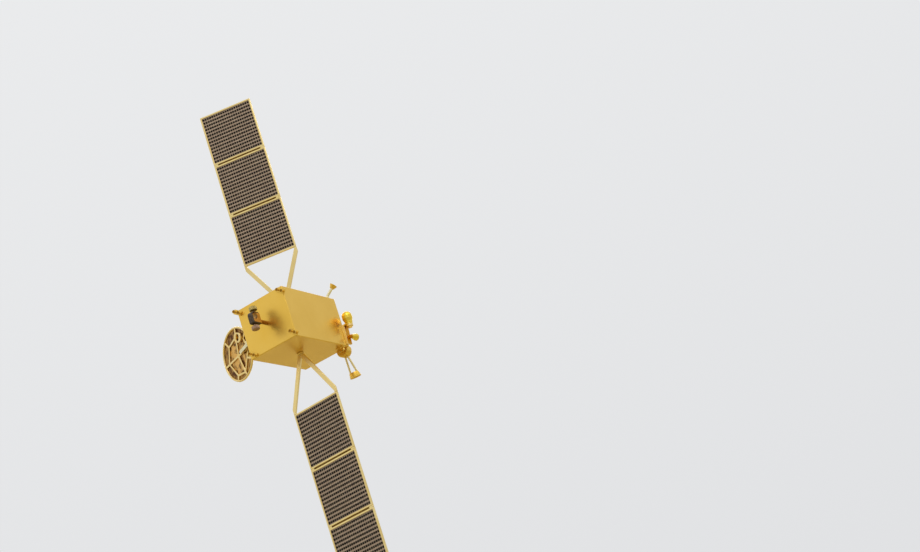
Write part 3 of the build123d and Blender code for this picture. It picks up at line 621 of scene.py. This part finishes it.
hub_pin = [(0, -PIN_LENGTH), (PIN_RADIUS, -PIN_LENGTH), (PIN_RADIUS, HUB_LIFT)]
hub_flange = [(HUB_RADIUS - HUB_TAPER, HUB_LIFT), (HUB_RADIUS, hub_top), (0, hub_top)]
hub_profile = np.vstack((hub_pin, soften(hub_flange, HUB_EDGE)))

wing_frames = {}
for joint in frame["joints"]:
    wing = joint["child"].removesuffix("_wing")
    direction, turn = WINGS[wing]
    across = direction * np.array((cos(radians(turn)), sin(radians(turn)), 0))
    up = np.array((0, 0, direction))
    wing_frames[wing] = (np.array(joint["pos_m"]) / MM, np.array((across, up, np.cross(across, up))))

for wing, (foot, axes) in wing_frames.items():
    across, up, front = axes
    body = f"{wing}_wing"
    hub = lathe(hub_profile, foot, up)
    make_piece(f"{wing}_hub_flange", {pale_gold: [hub]}, body, [f"{wing}_hub"])
    for side, sign in (("left", -WINGS[wing][0]), ("right", WINGS[wing][0])):
        arm = prism(np.array(ARM_OUTLINE) * (sign, 1), axes, foot, -half_thick, half_thick)
        name = f"{wing}_yoke_bar_{side}"
        make_piece(name, {pale_gold: [arm]}, body, [f"{wing}_yoke_{side}"], WING_EDGE)
    for number in range(PANEL_COUNT):
        middle = foot + up * panel_height(number)
        pan = tray(middle, axes, (PANEL_WIDTH, PANEL_LENGTH), TRAY_CORNER, TRAY_PROFILE)
        name = f"{wing}_tray_{number + 1}"
        make_piece(name, {pale_gold: [pan]}, body, [f"{wing}_panel_{number + 1}"])
    webs = []
    ends = []
    for number in range(PANEL_COUNT - 1):
        gap_start = YOKE_LENGTH + (number + 1) * PANEL_LENGTH + number * PANEL_GAP
        # The first axis runs across the wing, the second is its front, the third goes up the gap
        gap_axes = (across, front, up)
        span = (gap_start + LINK_GAP, gap_start + PANEL_GAP - LINK_GAP)
        box = [(-block_inner, -half_thick), (block_inner, -half_thick)]
        box += [(block_inner, web_level), (-block_inner, web_level)]
        webs.append(prism(box, gap_axes, foot, *span))
        for sign in (-1, 1):
            inner, outer = sign * block_inner, sign * (leg_outer - LINK_SINK)
            box = [(inner, -half_thick), (outer, -half_thick), (outer, half_thick - LINK_SINK)]
            ends.append(prism(box + [(inner, half_thick - LINK_SINK)], gap_axes, foot, *span))
    # The strip's web across each gap carries the painted shade
    make_piece(
        f"{wing}_gap_strips", {gap_painted_shade_gold: webs, pale_gold: ends}, body, [f"{wing}_panel_links"],
    )

# Solar cells
# Each tray holds a printed film of small dark brown cells in 14 rows, with broad tan stripes
# between the rows and a fine pale conductor up each gap. Film and cells have a weak plastic sheen.
CELL_ROWS = 14
CELL_COLUMNS = 21
SHEET_GAP = 0.1
SHEET_THICKNESS = 1.1
# Share of its place that a cell fills, across and up the wing
CELL_SHARE = (0.9, 0.57)
CELL_HEIGHT = 0.25
CELL_LEAN = 0.12
LINE_WIDTH = 0.36
LINE_HEIGHT = 0.06
LINE_LEAN = 0.02
LINE_SHORTENING = 0.6
PRINT_SINK = 0.05

# Printed plastic film under clear varnish: tan, satin, with a faint print mottle
cell_film = finish("tan_printed_film", ("#8e7767", "#a38c7a"), (0.38, 0.5), 12.0, 1.0, 0.01)
# Screened enamel for the cells: nearly black brown, with little sheen
cell_dark = finish(
    "dark_cell_enamel", ("#120907", "#1f130f"), (0.4, 0.5), 6.0, 1.0, 0.01,
    **{"Specular IOR Level": 0.12},
)
# Pale conductor print, slightly metallic
cell_line = finish(
    "pale_conductor_print", ("#cdbd9c", "#ddd0b0"), (0.3, 0.45), 8.0, 1.0, 0.01, Metallic=0.3
)


def blocks(centres, size, low, high, lean):
    """Flat-topped blocks on a plane: across and up from each centre, with sides that lean in."""
    half = np.array(size) / 2
    corner = np.array([(-1, -1), (1, -1), (1, 1), (-1, 1)])
    centres = np.array(centres)
    layers = []
    for reach, level in ((half, low), (half - lean, high)):
        flat = centres[:, None] + corner * reach
        layers.append(np.concatenate((flat, np.full(flat.shape[:2] + (1,), level)), axis=2))
    points = np.concatenate(layers, axis=1)
    sides = [[k, (k + 1) % 4, (k + 1) % 4 + 4, k + 4] for k in range(4)]
    faces = np.array(sides + [[4, 5, 6, 7], [3, 2, 1, 0]])
    starts = np.arange(len(centres))[:, None, None] * 8
    return points.reshape(-1, 3), [(faces[None] + starts).reshape(-1, 4)]


sheet_inset = 2 * (RIM_WIDTH + SHEET_GAP)
sheet_size = np.array((PANEL_WIDTH - sheet_inset, PANEL_LENGTH - sheet_inset))
pitch = sheet_size / (CELL_COLUMNS, CELL_ROWS)
columns = (np.arange(CELL_COLUMNS) - (CELL_COLUMNS - 1) / 2) * pitch[0]
rows = (np.arange(CELL_ROWS) - (CELL_ROWS - 1) / 2) * pitch[1]
cell_centres = np.stack(np.meshgrid(columns, rows), axis=-1).reshape(-1, 2)
line_centres = [(x + pitch[0] / 2, 0) for x in columns[:-1]]
line_size = (LINE_WIDTH, sheet_size[1] - LINE_SHORTENING)
sheet_front = floor_level + SHEET_THICKNESS
print_low = sheet_front - PRINT_SINK
film_layers = {
    cell_film: blocks([(0, 0)], sheet_size, floor_level, sheet_front, 0.0),
    cell_dark: blocks(cell_centres, pitch * CELL_SHARE, print_low, sheet_front + CELL_HEIGHT, CELL_LEAN),
    cell_line: blocks(line_centres, line_size, print_low, sheet_front + LINE_HEIGHT, LINE_LEAN),
}
for wing, (foot, axes) in wing_frames.items():
    for number in range(PANEL_COUNT):
        origin = foot + axes[1] * panel_height(number)
        layers = {
            material: [(points @ axes + origin, faces)]
            for material, (points, faces) in film_layers.items()
        }
        node = f"{wing}_cells_{number + 1}"
        name = f"{wing}_cell_film_{number + 1}"
        make_piece(name, layers, f"{wing}_wing", [node])

# Dish
# A thin spun disc with a beaded rim. Its back carries a cast frame of straight bars: seven sides,
# four spokes and four struts out to the rim. A slotted hold-down lug lies on the upper bar.
DISH_RADIUS = 46.5
DISH_DEPTH = 0.8
DISH_SHELL = 0.8
DISH_RIM = 2.0
DISH_RIM_DROP = 1.2
# How far inside the disc's edge its front and back meet the rim's bead, and the bead's two ends
RIM_FRONT = 1.7
RIM_BACK = 2.0
RIM_TURN = (143, -190)
RIM_STEPS = 28
DISC_STEPS = 12
DISH_TURN = 21.5
DISH_PLACE = np.array((-99.1, -37.9, -7.2))
BAR_WIDTH = 4.0
BAR_HEIGHT = 1.9
BAR_FOOT = DISH_SHELL + SEAT_GAP
BAR_BACK = BAR_FOOT + BAR_HEIGHT
BAR_EDGE = 0.55
BAR_STEPS = 9
FRAME_HUB = 4.0
FRAME_HUB_EDGE = 0.8
# Place on the dish's back across and up, and the frame's corners in degrees turning up
FRAME_PLACE = np.array((3.0, -5.0))
FRAME_RADIUS = 34.0
FRAME_CORNERS = (0, 38, 78, 128, 181, 239, 281)
# Angle of each spoke or strut and where it starts from the frame's middle
FRAME_ARMS = (
    (0, 2.5), (78, 2.5), (181, 2.5), (281, 2.5), (38, 33.5), (128, 33.5), (239, 33.5), (330, 26.0),
)
LUG_ANGLE = 60.0
LUG_RADIUS = 32.5
LUG_THICKNESS = 3.2
# Width, length along the lug and corner radius, outside and in the slot
LUG_OUTSIDE = (22.0, 17.5, 8.0)
LUG_SLOT = (8.6, 12.4, 4.3)
LUG_STEPS = 11
LUG_EDGE = 0.9

# Cast bars and rim, rubbed bright before the lacquer went on
bright_gold = finish(
    "bright_gold_casting", ("#ebc878", "#f6de9c"), (0.22, 0.32), 12.0, 0.9, 0.015, Metallic=1.0
)
# The disc's back between the bars: a tan gold with dark brown painted shade in patches and all the
# way round outside the frame, standing for the shade of the deep pockets beside the bars
dish_ground_painted_shade = finish(
    "dish_ground_lacquer_painted_shade", ("#5e3608", "#e8b866"), (0.3, 0.48), 9.0, 0.8, 0.03, Metallic=1.0
)
# Noise where the ground is wholly brown painted shade and wholly tan
PATCH_EDGES = (0.38, 0.6)
# Distance from the frame's middle where the painted shade round the outer pockets starts and where it is
# full
SHADE_RING_START = 27.0
SHADE_RING_END = 37.0
SHADE_RING_SHARE = 0.5
SHADE_RING_COLOUR = "#5a3006"

dish_face = np.array((sin(radians(DISH_TURN)), cos(radians(DISH_TURN)), 0))
dish_across = np.array((cos(radians(DISH_TURN)), -sin(radians(DISH_TURN)), 0))
dish_up = np.array((0, 0, 1))
dish_plane = np.array((dish_across, dish_up))
dish_middle = body_middle + DISH_PLACE
sphere_radius = (DISH_RADIUS**2 + DISH_DEPTH**2) / (2 * DISH_DEPTH)


def dish_level(radius, offset):
    """Distance along the dish's axis of its sphere moved back by offset, at a radius."""
    return sphere_radius - DISH_DEPTH - np.sqrt((sphere_radius + offset) ** 2 - np.square(radius))


def on_dish(flat, offset):
    """Points on the sphere moved back by offset, from places across and up the dish's back."""
    flat = np.asarray(flat, float)
    level = dish_level(np.linalg.norm(flat, axis=-1), offset)
    return dish_middle + flat @ dish_plane + level[..., None] * dish_face


def heading(angle):
    """Unit step across and up the dish's back at an angle in degrees."""
    return np.array((cos(radians(angle)), sin(radians(angle))))


ground_tree = dish_ground_painted_shade.node_tree
ground_place = add_node(ground_tree, "ShaderNodeTexCoord")
# Input 0 takes the place on the disc, input 1 the middle of the frame of bars
frame_distance = add_node(
    ground_tree,
    "ShaderNodeVectorMath",
    {"operation": "DISTANCE"},
    {1: on_dish(FRAME_PLACE, DISH_SHELL) * MM},
    {0: (ground_place, "Object")},
)
ring_shade = add_node(
    ground_tree,
    "ShaderNodeMapRange",
    values={"From Min": SHADE_RING_START * MM, "From Max": SHADE_RING_END * MM, "To Max": SHADE_RING_SHARE},
    links={"Value": (frame_distance, "Value")},
)
ground_tint = ground_tree.nodes["Principled BSDF"].inputs["Base Color"].links[0].from_node
for stop, position in zip(ground_tint.color_ramp.elements, PATCH_EDGES):
    stop.position = position
ring_shade_tint = add_node(
    ground_tree,
    "ShaderNodeMixRGB",
    values={"Color2": linear(SHADE_RING_COLOUR)},
    links={"Fac": (ring_shade, "Result"), "Color1": (ground_tint, "Color")},
)
ground_tree.links.new(
    ring_shade_tint.outputs["Color"], ground_tree.nodes["Principled BSDF"].inputs["Base Color"]
)

front_radii = np.linspace(0, DISH_RADIUS - RIM_FRONT, DISC_STEPS)
front_line = np.column_stack((front_radii, dish_level(front_radii, 0.0)))
back_radii = np.linspace(DISH_RADIUS - RIM_BACK, 0, DISC_STEPS)
back_line = np.column_stack((back_radii, dish_level(back_radii, DISH_SHELL)))
rim_turn = np.radians(np.linspace(*RIM_TURN, RIM_STEPS))
rim = arc((DISH_RADIUS, -DISH_RIM_DROP), DISH_RIM, rim_turn)
disc_front = lathe(np.vstack((front_line, rim, back_line[:1])), dish_middle, dish_face)
disc_back = lathe(back_line, dish_middle, dish_face)
# The disc's back carries the painted shade of the pockets
make_piece(
    "dish_disc", {bright_gold: [disc_front], dish_ground_painted_shade: [disc_back]}, "bus",
    ["dish_reflector"],
)

bar_middle = BAR_FOOT + BAR_HEIGHT / 2
bar_section = rounded_box(BAR_WIDTH, BAR_HEIGHT, BAR_EDGE)
loop = []
for angle in FRAME_CORNERS + FRAME_CORNERS[:1]:
    flat = FRAME_PLACE + (FRAME_RADIUS + bar_section[:, :1]) * heading(angle)
    loop.append(on_dish(flat, bar_middle) + bar_section[:, 1:] * dish_face)
bars = [patch(np.array(loop), wrap=True)]
bar_end = DISH_RADIUS - DISH_RIM - SEAT_GAP
for angle, start in FRAME_ARMS:
    step = heading(angle)
    along = FRAME_PLACE @ step
    reach = np.sqrt(along**2 - FRAME_PLACE @ FRAME_PLACE + bar_end**2) - along
    flat = FRAME_PLACE + np.linspace(start, reach, BAR_STEPS)[:, None] * step
    side = np.cross(step @ dish_plane, dish_face)
    bars.append(sweep(on_dish(flat, bar_middle), side, bar_section))
half_height = BAR_HEIGHT / 2
boss_profile = [(0, -half_height), (FRAME_HUB, -half_height), (FRAME_HUB, half_height), (0, half_height)]
bars.append(lathe(soften(boss_profile, FRAME_HUB_EDGE), on_dish(FRAME_PLACE, bar_middle), dish_face))
make_piece("dish_bar_frame", {bright_gold: bars}, "bus", ["dish_ribs"])

lug_step = heading(LUG_ANGLE)
lug_place = FRAME_PLACE + LUG_RADIUS * lug_step
lug_middle = on_dish(lug_place, BAR_BACK + SEAT_GAP + LUG_THICKNESS / 2)
lug_up = lug_step @ dish_plane
lug_side = np.cross(lug_up, dish_face)
# The section runs across the wall, from the slot to the outside, and through the thickness
lug_wall = (LUG_OUTSIDE[0] - LUG_SLOT[0]) / 2
lug_section = rounded_box(lug_wall, LUG_THICKNESS, LUG_EDGE)
inside, outside = (rounded_box(*size, LUG_STEPS)[:, None] for size in (LUG_SLOT, LUG_OUTSIDE))
flat = inside + (outside - inside) * (lug_section[None, :, :1] / lug_wall + 0.5)
flat = np.concatenate((flat, flat[:1]))
depth = np.repeat(lug_section[None, :, 1:], len(flat), axis=0)
lug_grid = lug_middle + flat[..., :1] * lug_side + flat[..., 1:] * lug_up + depth * dish_face
lug = patch(lug_grid, wrap=True)
make_piece("dish_lug_loop", {bright_gold: [lug]}, "bus", ["dish_lug"])

# Near-white cream lacquer of the dish arm and the upper rod; on the dish arm it is partly a painted
# highlight
cream_and_highlight_lacquer = finish(
    "cream_lacquer_and_painted_highlight", ("#e6d9a8", "#f2eac6"), (0.3, 0.4), 10.0, 0.9, 0.01, Metallic=0.85
)
# The dish arm's pale greenish white is partly painted highlight
dress("dish_arm", cream_and_highlight_lacquer)

# Feed horn
# A small turned horn on a bracket at the body's side that looks back at the dish. Both have the
# body's lacquer.
FEED_PROFILE = (
    (0, 0), (3.0, 0), (3.0, -5.0), (7.0, -13.6), (7.0, -14.0), (6.2, -14.0), (0.6, -7.0), (0, -7.0),
)
TURNED_EDGE = 0.3

dress("feed_bracket", gold_lacquer)
feed_high, feed_middle = solid_box("feed_horn")[1:]
feed_origin = (feed_middle[0], feed_high[1], feed_middle[2])
feed = lathe(soften(FEED_PROFILE, TURNED_EDGE), feed_origin, (0, 1, 0))
make_piece("feed_horn_turned", {gold_lacquer: [feed]}, "bus", ["feed_horn"])

# Thruster pairs
# Six pairs of little bell nozzles, turned and pressed into small plates, one pair near each corner
# of the back face and one on the top and bottom at the Earth end.
THRUSTER_PLATE = (17.0, 8.5)
THRUSTER_SPACING = 9.6
THRUSTER_TILT = -36.0
PLATE_CORNER = 1.2
PLATE_PROFILE = ((0.0, 0.0), (0.0, 1.2), (0.1, 1.4), (0.3, 1.5))
BELL_PROFILE = (
    (0, 1.4), (1.8, 1.4), (1.8, 3.0), (2.3, 4.2), (2.9, 5.8), (3.1, 7.0), (2.6, 7.0), (2.5, 6.6),
)
HOLLOW_PROFILE = ((2.5, 6.6), (2.3, 5.8), (1.6, 4.2), (1.2, 3.5), (0, 3.5))
BELL_EDGE = 0.25
BELL_EDGE_STEPS = 2

# Turned brass under the lacquer, a little greener than the body
nozzle_brass = finish(
    "olive_turned_brass", ("#d4b052", "#e8c86e"), (0.26, 0.36), 8.0, 0.8, 0.01, Metallic=1.0
)
# Inside the bells a duller, darker, hardly metallic gold: painted shade in the hollows
nozzle_hollow_painted_shade = finish(
    "bell_hollow_painted_shade", ("#c0962e", "#d8ae44"), (0.4, 0.55), 4.0, 0.8, 0.02, Metallic=0.2
)

tilt = (cos(radians(THRUSTER_TILT)), 0, sin(radians(THRUSTER_TILT)))
# Node's name, line through the pair, direction of the nozzles
THRUSTERS = [
    (f"{side}_{level}", tilt, (0, -1, 0)) for side in ("right", "left") for level in ("top", "bottom")
]
THRUSTERS += [("top", (1, 0, 0), (0, 0, 1)), ("bottom", (1, 0, 0), (0, 0, -1))]
bell_profile = soften(BELL_PROFILE, BELL_EDGE, BELL_EDGE_STEPS)
for name, across, normal in THRUSTERS:
    low, high, middle = solid_box(f"thrusters_{name}")
    across = np.array(across)
    normal = np.array(normal)
    face = np.where(normal > 0, low, high)
    origin = np.where(normal == 0, middle, face)
    axes = (across, np.cross(normal, across), normal)
    plate = tray(origin, axes, THRUSTER_PLATE, PLATE_CORNER, PLATE_PROFILE)
    places = [origin + across * side * THRUSTER_SPACING / 2 for side in (-1, 1)]
    pair = {
        gold_lacquer: [plate],
        nozzle_brass: [lathe(bell_profile, place, normal) for place in places],
        # The bells' insides take the painted shade
        nozzle_hollow_painted_shade: [lathe(HOLLOW_PROFILE, place, normal) for place in places],
    }
    make_piece(f"nozzles_{name}", pair, "bus", [f"thrusters_{name}"])

# Horns at the Earth end
# On the right side a cast wedge with a shelf holds a round-topped horn, spun from sheet, with a
# waveguide under it and a conical horn beside that. The dome is a brighter yellow than the body.
SHELF_HALF = 6.5
SHELF_THICKNESS = 3.0
SHELF_BITE = 0.5
SHELF_INSET = 0.1
SHELF_SINK = 0.02
SHELF_STEPS = 33
WEDGE_TOP = 7.0
WEDGE_FOOT = 4.0
BRACKET_EDGE = 0.4
CONE_ARM = 4.0
CONE_ARM_REACH = 13.0
DOME_NECK = 7.0
DOME_NECK_HEIGHT = 2.0
DOME_RADIUS = 9.2
DOME_SHOULDER = 8.0
DOME_WALL_END = 11.5
DOME_HEIGHT = 22.0
DOME_EDGE = 1.5
DOME_STEPS = 10
GUIDE_PROFILE = ((0, 0), (6.2, 0), (6.2, 4.0), (4.2, 4.0), (4.2, 6.0), (0, 6.0))
GUIDE_EDGE = 0.5
CONE_PROFILE = (
    (0, 0), (3.6, 0), (3.9, 2.0), (6.6, 14.3), (6.6, 15.0), (5.8, 15.0), (3.4, 9.2), (0, 9.2),
)

# Brighter, yellower lacquer on spun sheet
yellow_gold = finish(
    "yellow_spun_lacquer", ("#ecc53f", "#f6d962"), (0.24, 0.32), 14.0, 1.0, 0.01, Metallic=1.0
)
# The wedge's sides have the lacquer made pale as painted light, as pale as the lit body side
bracket_painted_light_gold = finish(
    "bracket_sides_painted_light", ("#f5e2b0", "#faecc2"), (0.31, 0.38), 20.0, 6.0, 0.004, Metallic=1.0
)
# On the wedge's outer face and the cone's arm, a deep dark gold that is painted shade
bracket_painted_shade_gold = finish(
    "bracket_face_painted_shade", ("#c88c0c", "#dea018"), (0.36, 0.46), 10.0, 1.0, 0.01, Metallic=1.0
)
bracket_low, bracket_high, bracket_middle = solid_box("horn_bracket")
cone_low, _, cone_middle = solid_box("horn_cone")
dome_origin = (bracket_high[0] - SHELF_HALF, bracket_middle[1], bracket_high[2])
wedge_outline = (
    (side_x, bracket_low[2]),
    (side_x + WEDGE_FOOT, bracket_low[2]),
    (side_x + WEDGE_TOP, bracket_high[2]),
    (side_x, bracket_high[2]),
)
wedge_points, (wedge_sides, wedge_caps) = prism(
    wedge_outline, ((1, 0, 0), (0, 0, 1), (0, 1, 0)), (0, 0, 0), bracket_low[1], bracket_high[1]
)
# The second side is the sloping outer face
wedge_front = wedge_sides[1:2]
wedge_rest = np.delete(wedge_sides, 1, axis=0)
arm_outline = rounded_box(CONE_ARM, CONE_ARM, BRACKET_EDGE)
arm_origin = (side_x, bracket_middle[1], cone_middle[2])
cone_arm = prism(
    arm_outline, ((0, 1, 0), (0, 0, 1), (1, 0, 0)), arm_origin, WEDGE_FOOT, CONE_ARM_REACH
)
shelf_x = side_x + WEDGE_TOP - SHELF_BITE
shelf_side = SHELF_HALF - SHELF_INSET
shelf_turn = np.linspace(-np.pi / 2, np.pi / 2, SHELF_STEPS)
shelf_end = arc(dome_origin[:2], (SHELF_HALF, shelf_side), shelf_turn)
shelf_start, shelf_stop = ((shelf_x, bracket_middle[1] + side * shelf_side) for side in (-1, 1))
shelf_outline = np.vstack((shelf_start, shelf_end, shelf_stop))
shelf_top = bracket_high[2] - SHELF_SINK
shelf = prism(shelf_outline, np.eye(3), (0, 0, 0), bracket_high[2] - SHELF_THICKNESS, shelf_top)
# Pale painted light on the wedge's sides, dark painted shade on its outer face and the cone's arm
bracket_patches = {
    bracket_painted_light_gold: [(wedge_points, [wedge_rest, wedge_caps])],
    bracket_painted_shade_gold: [(wedge_points, [wedge_front]), cone_arm],
    yellow_gold: [shelf],
}
make_piece(
    "horn_bracket_wedge", bracket_patches, "bus", ["horn_bracket"],
    BRACKET_EDGE, BLOCK_CREASE,
)

dome_turn = np.linspace(0, np.pi / 2, DOME_STEPS)
dome_wall = [(0, 0), (DOME_NECK, 0), (DOME_NECK, DOME_NECK_HEIGHT)]
dome_wall += [(DOME_RADIUS, DOME_SHOULDER), (DOME_RADIUS, DOME_WALL_END)]
dome_cap = arc((0, DOME_HEIGHT - DOME_RADIUS), DOME_RADIUS, dome_turn)
dome_profile = np.vstack((soften(dome_wall, DOME_EDGE), dome_cap))
dome = lathe(dome_profile, dome_origin, (0, 0, 1))
make_piece("horn_dome_spun", {yellow_gold: [dome]}, "bus", ["horn_dome"])

guide_high, guide_middle = solid_box("horn_waveguide")[1:]
guide_origin = (guide_middle[0], guide_middle[1], guide_high[2])
guide = lathe(soften(GUIDE_PROFILE, GUIDE_EDGE), guide_origin, (0, 0, -1))
make_piece("horn_guide_turned", {bright_gold: [guide]}, "bus", ["horn_waveguide"])

cone_origin = (cone_middle[0], cone_low[1], cone_middle[2])
cone = lathe(soften(CONE_PROFILE, TURNED_EDGE), cone_origin, (0, 1, 0))
make_piece("horn_cone_turned", {yellow_gold: [cone]}, "bus", ["horn_cone"])

# Rod antennas
# A short leaning rod on the top face ends in a small cup. At the Earth end two rods come down from
# a drum to a wider cup. The upper rod is cream, the lower rods are pale brass and the rest is gold.
UPPER_FOOT_RADIUS = 4.0
UPPER_FOOT_HEIGHT = 2.5
# Distance in from the side face, and from the body's middle toward the Earth end
UPPER_FOOT = (4.5, 62.5)
UPPER_TILT = 45.0
UPPER_TURN = 27.0
UPPER_LENGTH = 18.5
UPPER_RADIUS = 2.5
LOWER_LEAN = 13.0
LOWER_LENGTH = 29.5
LOWER_RADIUS = 1.8
# Half the distance between the two rods at the drum and at the cup
LOWER_SPREAD = (2.75, 6.6)
LOWER_SINK = 0.6
FOOT_EDGE = 0.6
DRUM_EDGE = 3.0
# Radius of the base, radius of the mouth, height
UPPER_CUP = (3.6, 7.0, 7.0)
LOWER_CUP = (8.6, 10.6, 9.5)
CUP_WALL = 1.0
CUP_EDGE = 0.4


def cup_profile(base, mouth, height):
    """Cup with a sloping wall, a flat floor as thick as the wall and a rounded lip."""
    outer = [(0, 0), (base, 0), (mouth, height)]
    inner = [(mouth - CUP_WALL, height), (base - CUP_WALL, CUP_WALL), (0, CUP_WALL)]
    return soften(outer + inner, CUP_EDGE)


foot = np.array((side_x - UPPER_FOOT[0], body_middle[1] + UPPER_FOOT[1], top_z))
lean = sin(radians(UPPER_TILT))
upper_turn = radians(UPPER_TURN)
upper_dir = np.array((lean * cos(upper_turn), lean * sin(upper_turn), cos(radians(UPPER_TILT))))
rod_foot = foot + (0, 0, UPPER_RADIUS * lean + SEAT_GAP)
foot_profile = soften(cylinder(UPPER_FOOT_RADIUS, UPPER_FOOT_HEIGHT), FOOT_EDGE)
rod_profile = cylinder(UPPER_RADIUS, UPPER_LENGTH)
upper_rod = [lathe(foot_profile, foot, (0, 0, 1)), lathe(rod_profile, rod_foot, upper_dir)]
make_piece("upper_rod_turned", {cream_and_highlight_lacquer: upper_rod}, "bus", ["upper_antenna_rod"])
upper_cup = lathe(cup_profile(*UPPER_CUP), rod_foot + upper_dir * UPPER_LENGTH, upper_dir)
make_piece("upper_cup_turned", {gold_lacquer: [upper_cup]}, "bus", ["upper_antenna_cup"])

# Drawn brass rod under thin lacquer, pale with an olive cast
olive_rod = finish(
    "pale_lacquered_rod", ("#d9c283", "#e8d59a"), (0.28, 0.38), 8.0, 0.8, 0.01, Metallic=1.0
)
drum_low, drum_high, drum_middle = solid_box("lower_antenna_drum")
drum_radius = (drum_high[0] - drum_low[0]) / 2
drum_length = drum_high[1] - drum_low[1]
drum_profile = soften(cylinder(drum_radius, drum_length), DRUM_EDGE)
drum = lathe(drum_profile, (drum_middle[0], drum_low[1], drum_middle[2]), (0, 1, 0))
make_piece("drum_turned", {gold_lacquer: [drum]}, "bus", ["lower_antenna_drum"])
lower_dir = np.array((0, sin(radians(LOWER_LEAN)), -cos(radians(LOWER_LEAN))))
rods_start = drum_middle + lower_dir * (drum_radius - LOWER_SINK)
rods_end = drum_middle + lower_dir * (drum_radius + LOWER_LENGTH)
rods = []
for side in (-1, 1):
    start, end = (
        point + (side * spread, 0, 0) for point, spread in zip((rods_start, rods_end), LOWER_SPREAD)
    )
    run = end - start
    rods.append(lathe(cylinder(LOWER_RADIUS, np.linalg.norm(run)), start, run))
make_piece("lower_rods_turned", {olive_rod: rods}, "bus", ["lower_antenna_rods"])
lower_cup = lathe(cup_profile(*LOWER_CUP), rods_end, lower_dir)
make_piece("lower_cup_turned", {gold_lacquer: [lower_cup]}, "bus", ["lower_antenna_cup"])

# Earth face
# A round plate with seven turned elements, and a little square sensor with a round dark lens. Plate
# and sensor sit flat on the face, and all but the lens has the body's lacquer.
ELEMENT_COUNT = 6
ELEMENT_RING = 20.0
ELEMENT_PROFILE = ((0, 0), (4.5, 0), (4.5, 8.2), (3.7, 9.0), (0, 9.0))
ELEMENT_EDGE = 0.4
PLATE_EDGE = 1.0
SENSOR_PROFILE = ((0.0, 0.0), (0.0, 8.6), (0.12, 8.88), (0.4, 9.0))
SENSOR_CORNER = 0.8
LENS_PROFILE = ((0, -0.4), (3.0, -0.4), (3.0, 0.0), (2.6, 0.0), (2.2, -0.2), (0, 0.0))
LENS_SINK = 0.05

# Black glass of the sensor's lens
lens_glass = finish("dark_lens_glass", ("#0b0d12", "#14171e"), (0.05, 0.1), 3.0, 1.0, 0.001)
plate_low, plate_high, plate_middle = solid_box("array_plate")
plate_radius = (plate_high[0] - plate_low[0]) / 2
plate_thickness = plate_high[1] - plate_low[1]
plate_profile = soften(cylinder(plate_radius, plate_thickness), PLATE_EDGE)
plate = lathe(plate_profile, (0, earth_y, plate_middle[2]), (0, 1, 0))
make_piece("array_disc", {gold_lacquer: [plate]}, "bus", ["array_plate"])
element_middle = np.array((0, plate_high[1], plate_middle[2]))
element_profile = soften(ELEMENT_PROFILE, ELEMENT_EDGE)
elements = [lathe(element_profile, element_middle, (0, 1, 0))]
for angle in np.arange(ELEMENT_COUNT) * 2 * np.pi / ELEMENT_COUNT:
    shift = ELEMENT_RING * np.array((cos(angle), 0, sin(angle)))
    elements.append(lathe(element_profile, element_middle + shift, (0, 1, 0)))
make_piece("array_elements_turned", {gold_lacquer: elements}, "bus", ["array_elements"])

sensor_low, sensor_high, sensor_middle = solid_box("earth_sensor")
sensor_size = sensor_high - sensor_low
sensor_origin = (sensor_middle[0], sensor_low[1], sensor_middle[2])
sensor_axes = ((-1, 0, 0), (0, 0, 1), (0, 1, 0))
sensor_case = tray(sensor_origin, sensor_axes, sensor_size[[0, 2]], SENSOR_CORNER, SENSOR_PROFILE)
lens_origin = (sensor_middle[0], sensor_high[1] - LENS_SINK, sensor_middle[2])
lens = lathe(LENS_PROFILE, lens_origin, (0, 1, 0))
make_piece(
    "earth_sensor_case", {gold_lacquer: [sensor_case], lens_glass: [lens]}, "bus",
    ["earth_sensor"],
)
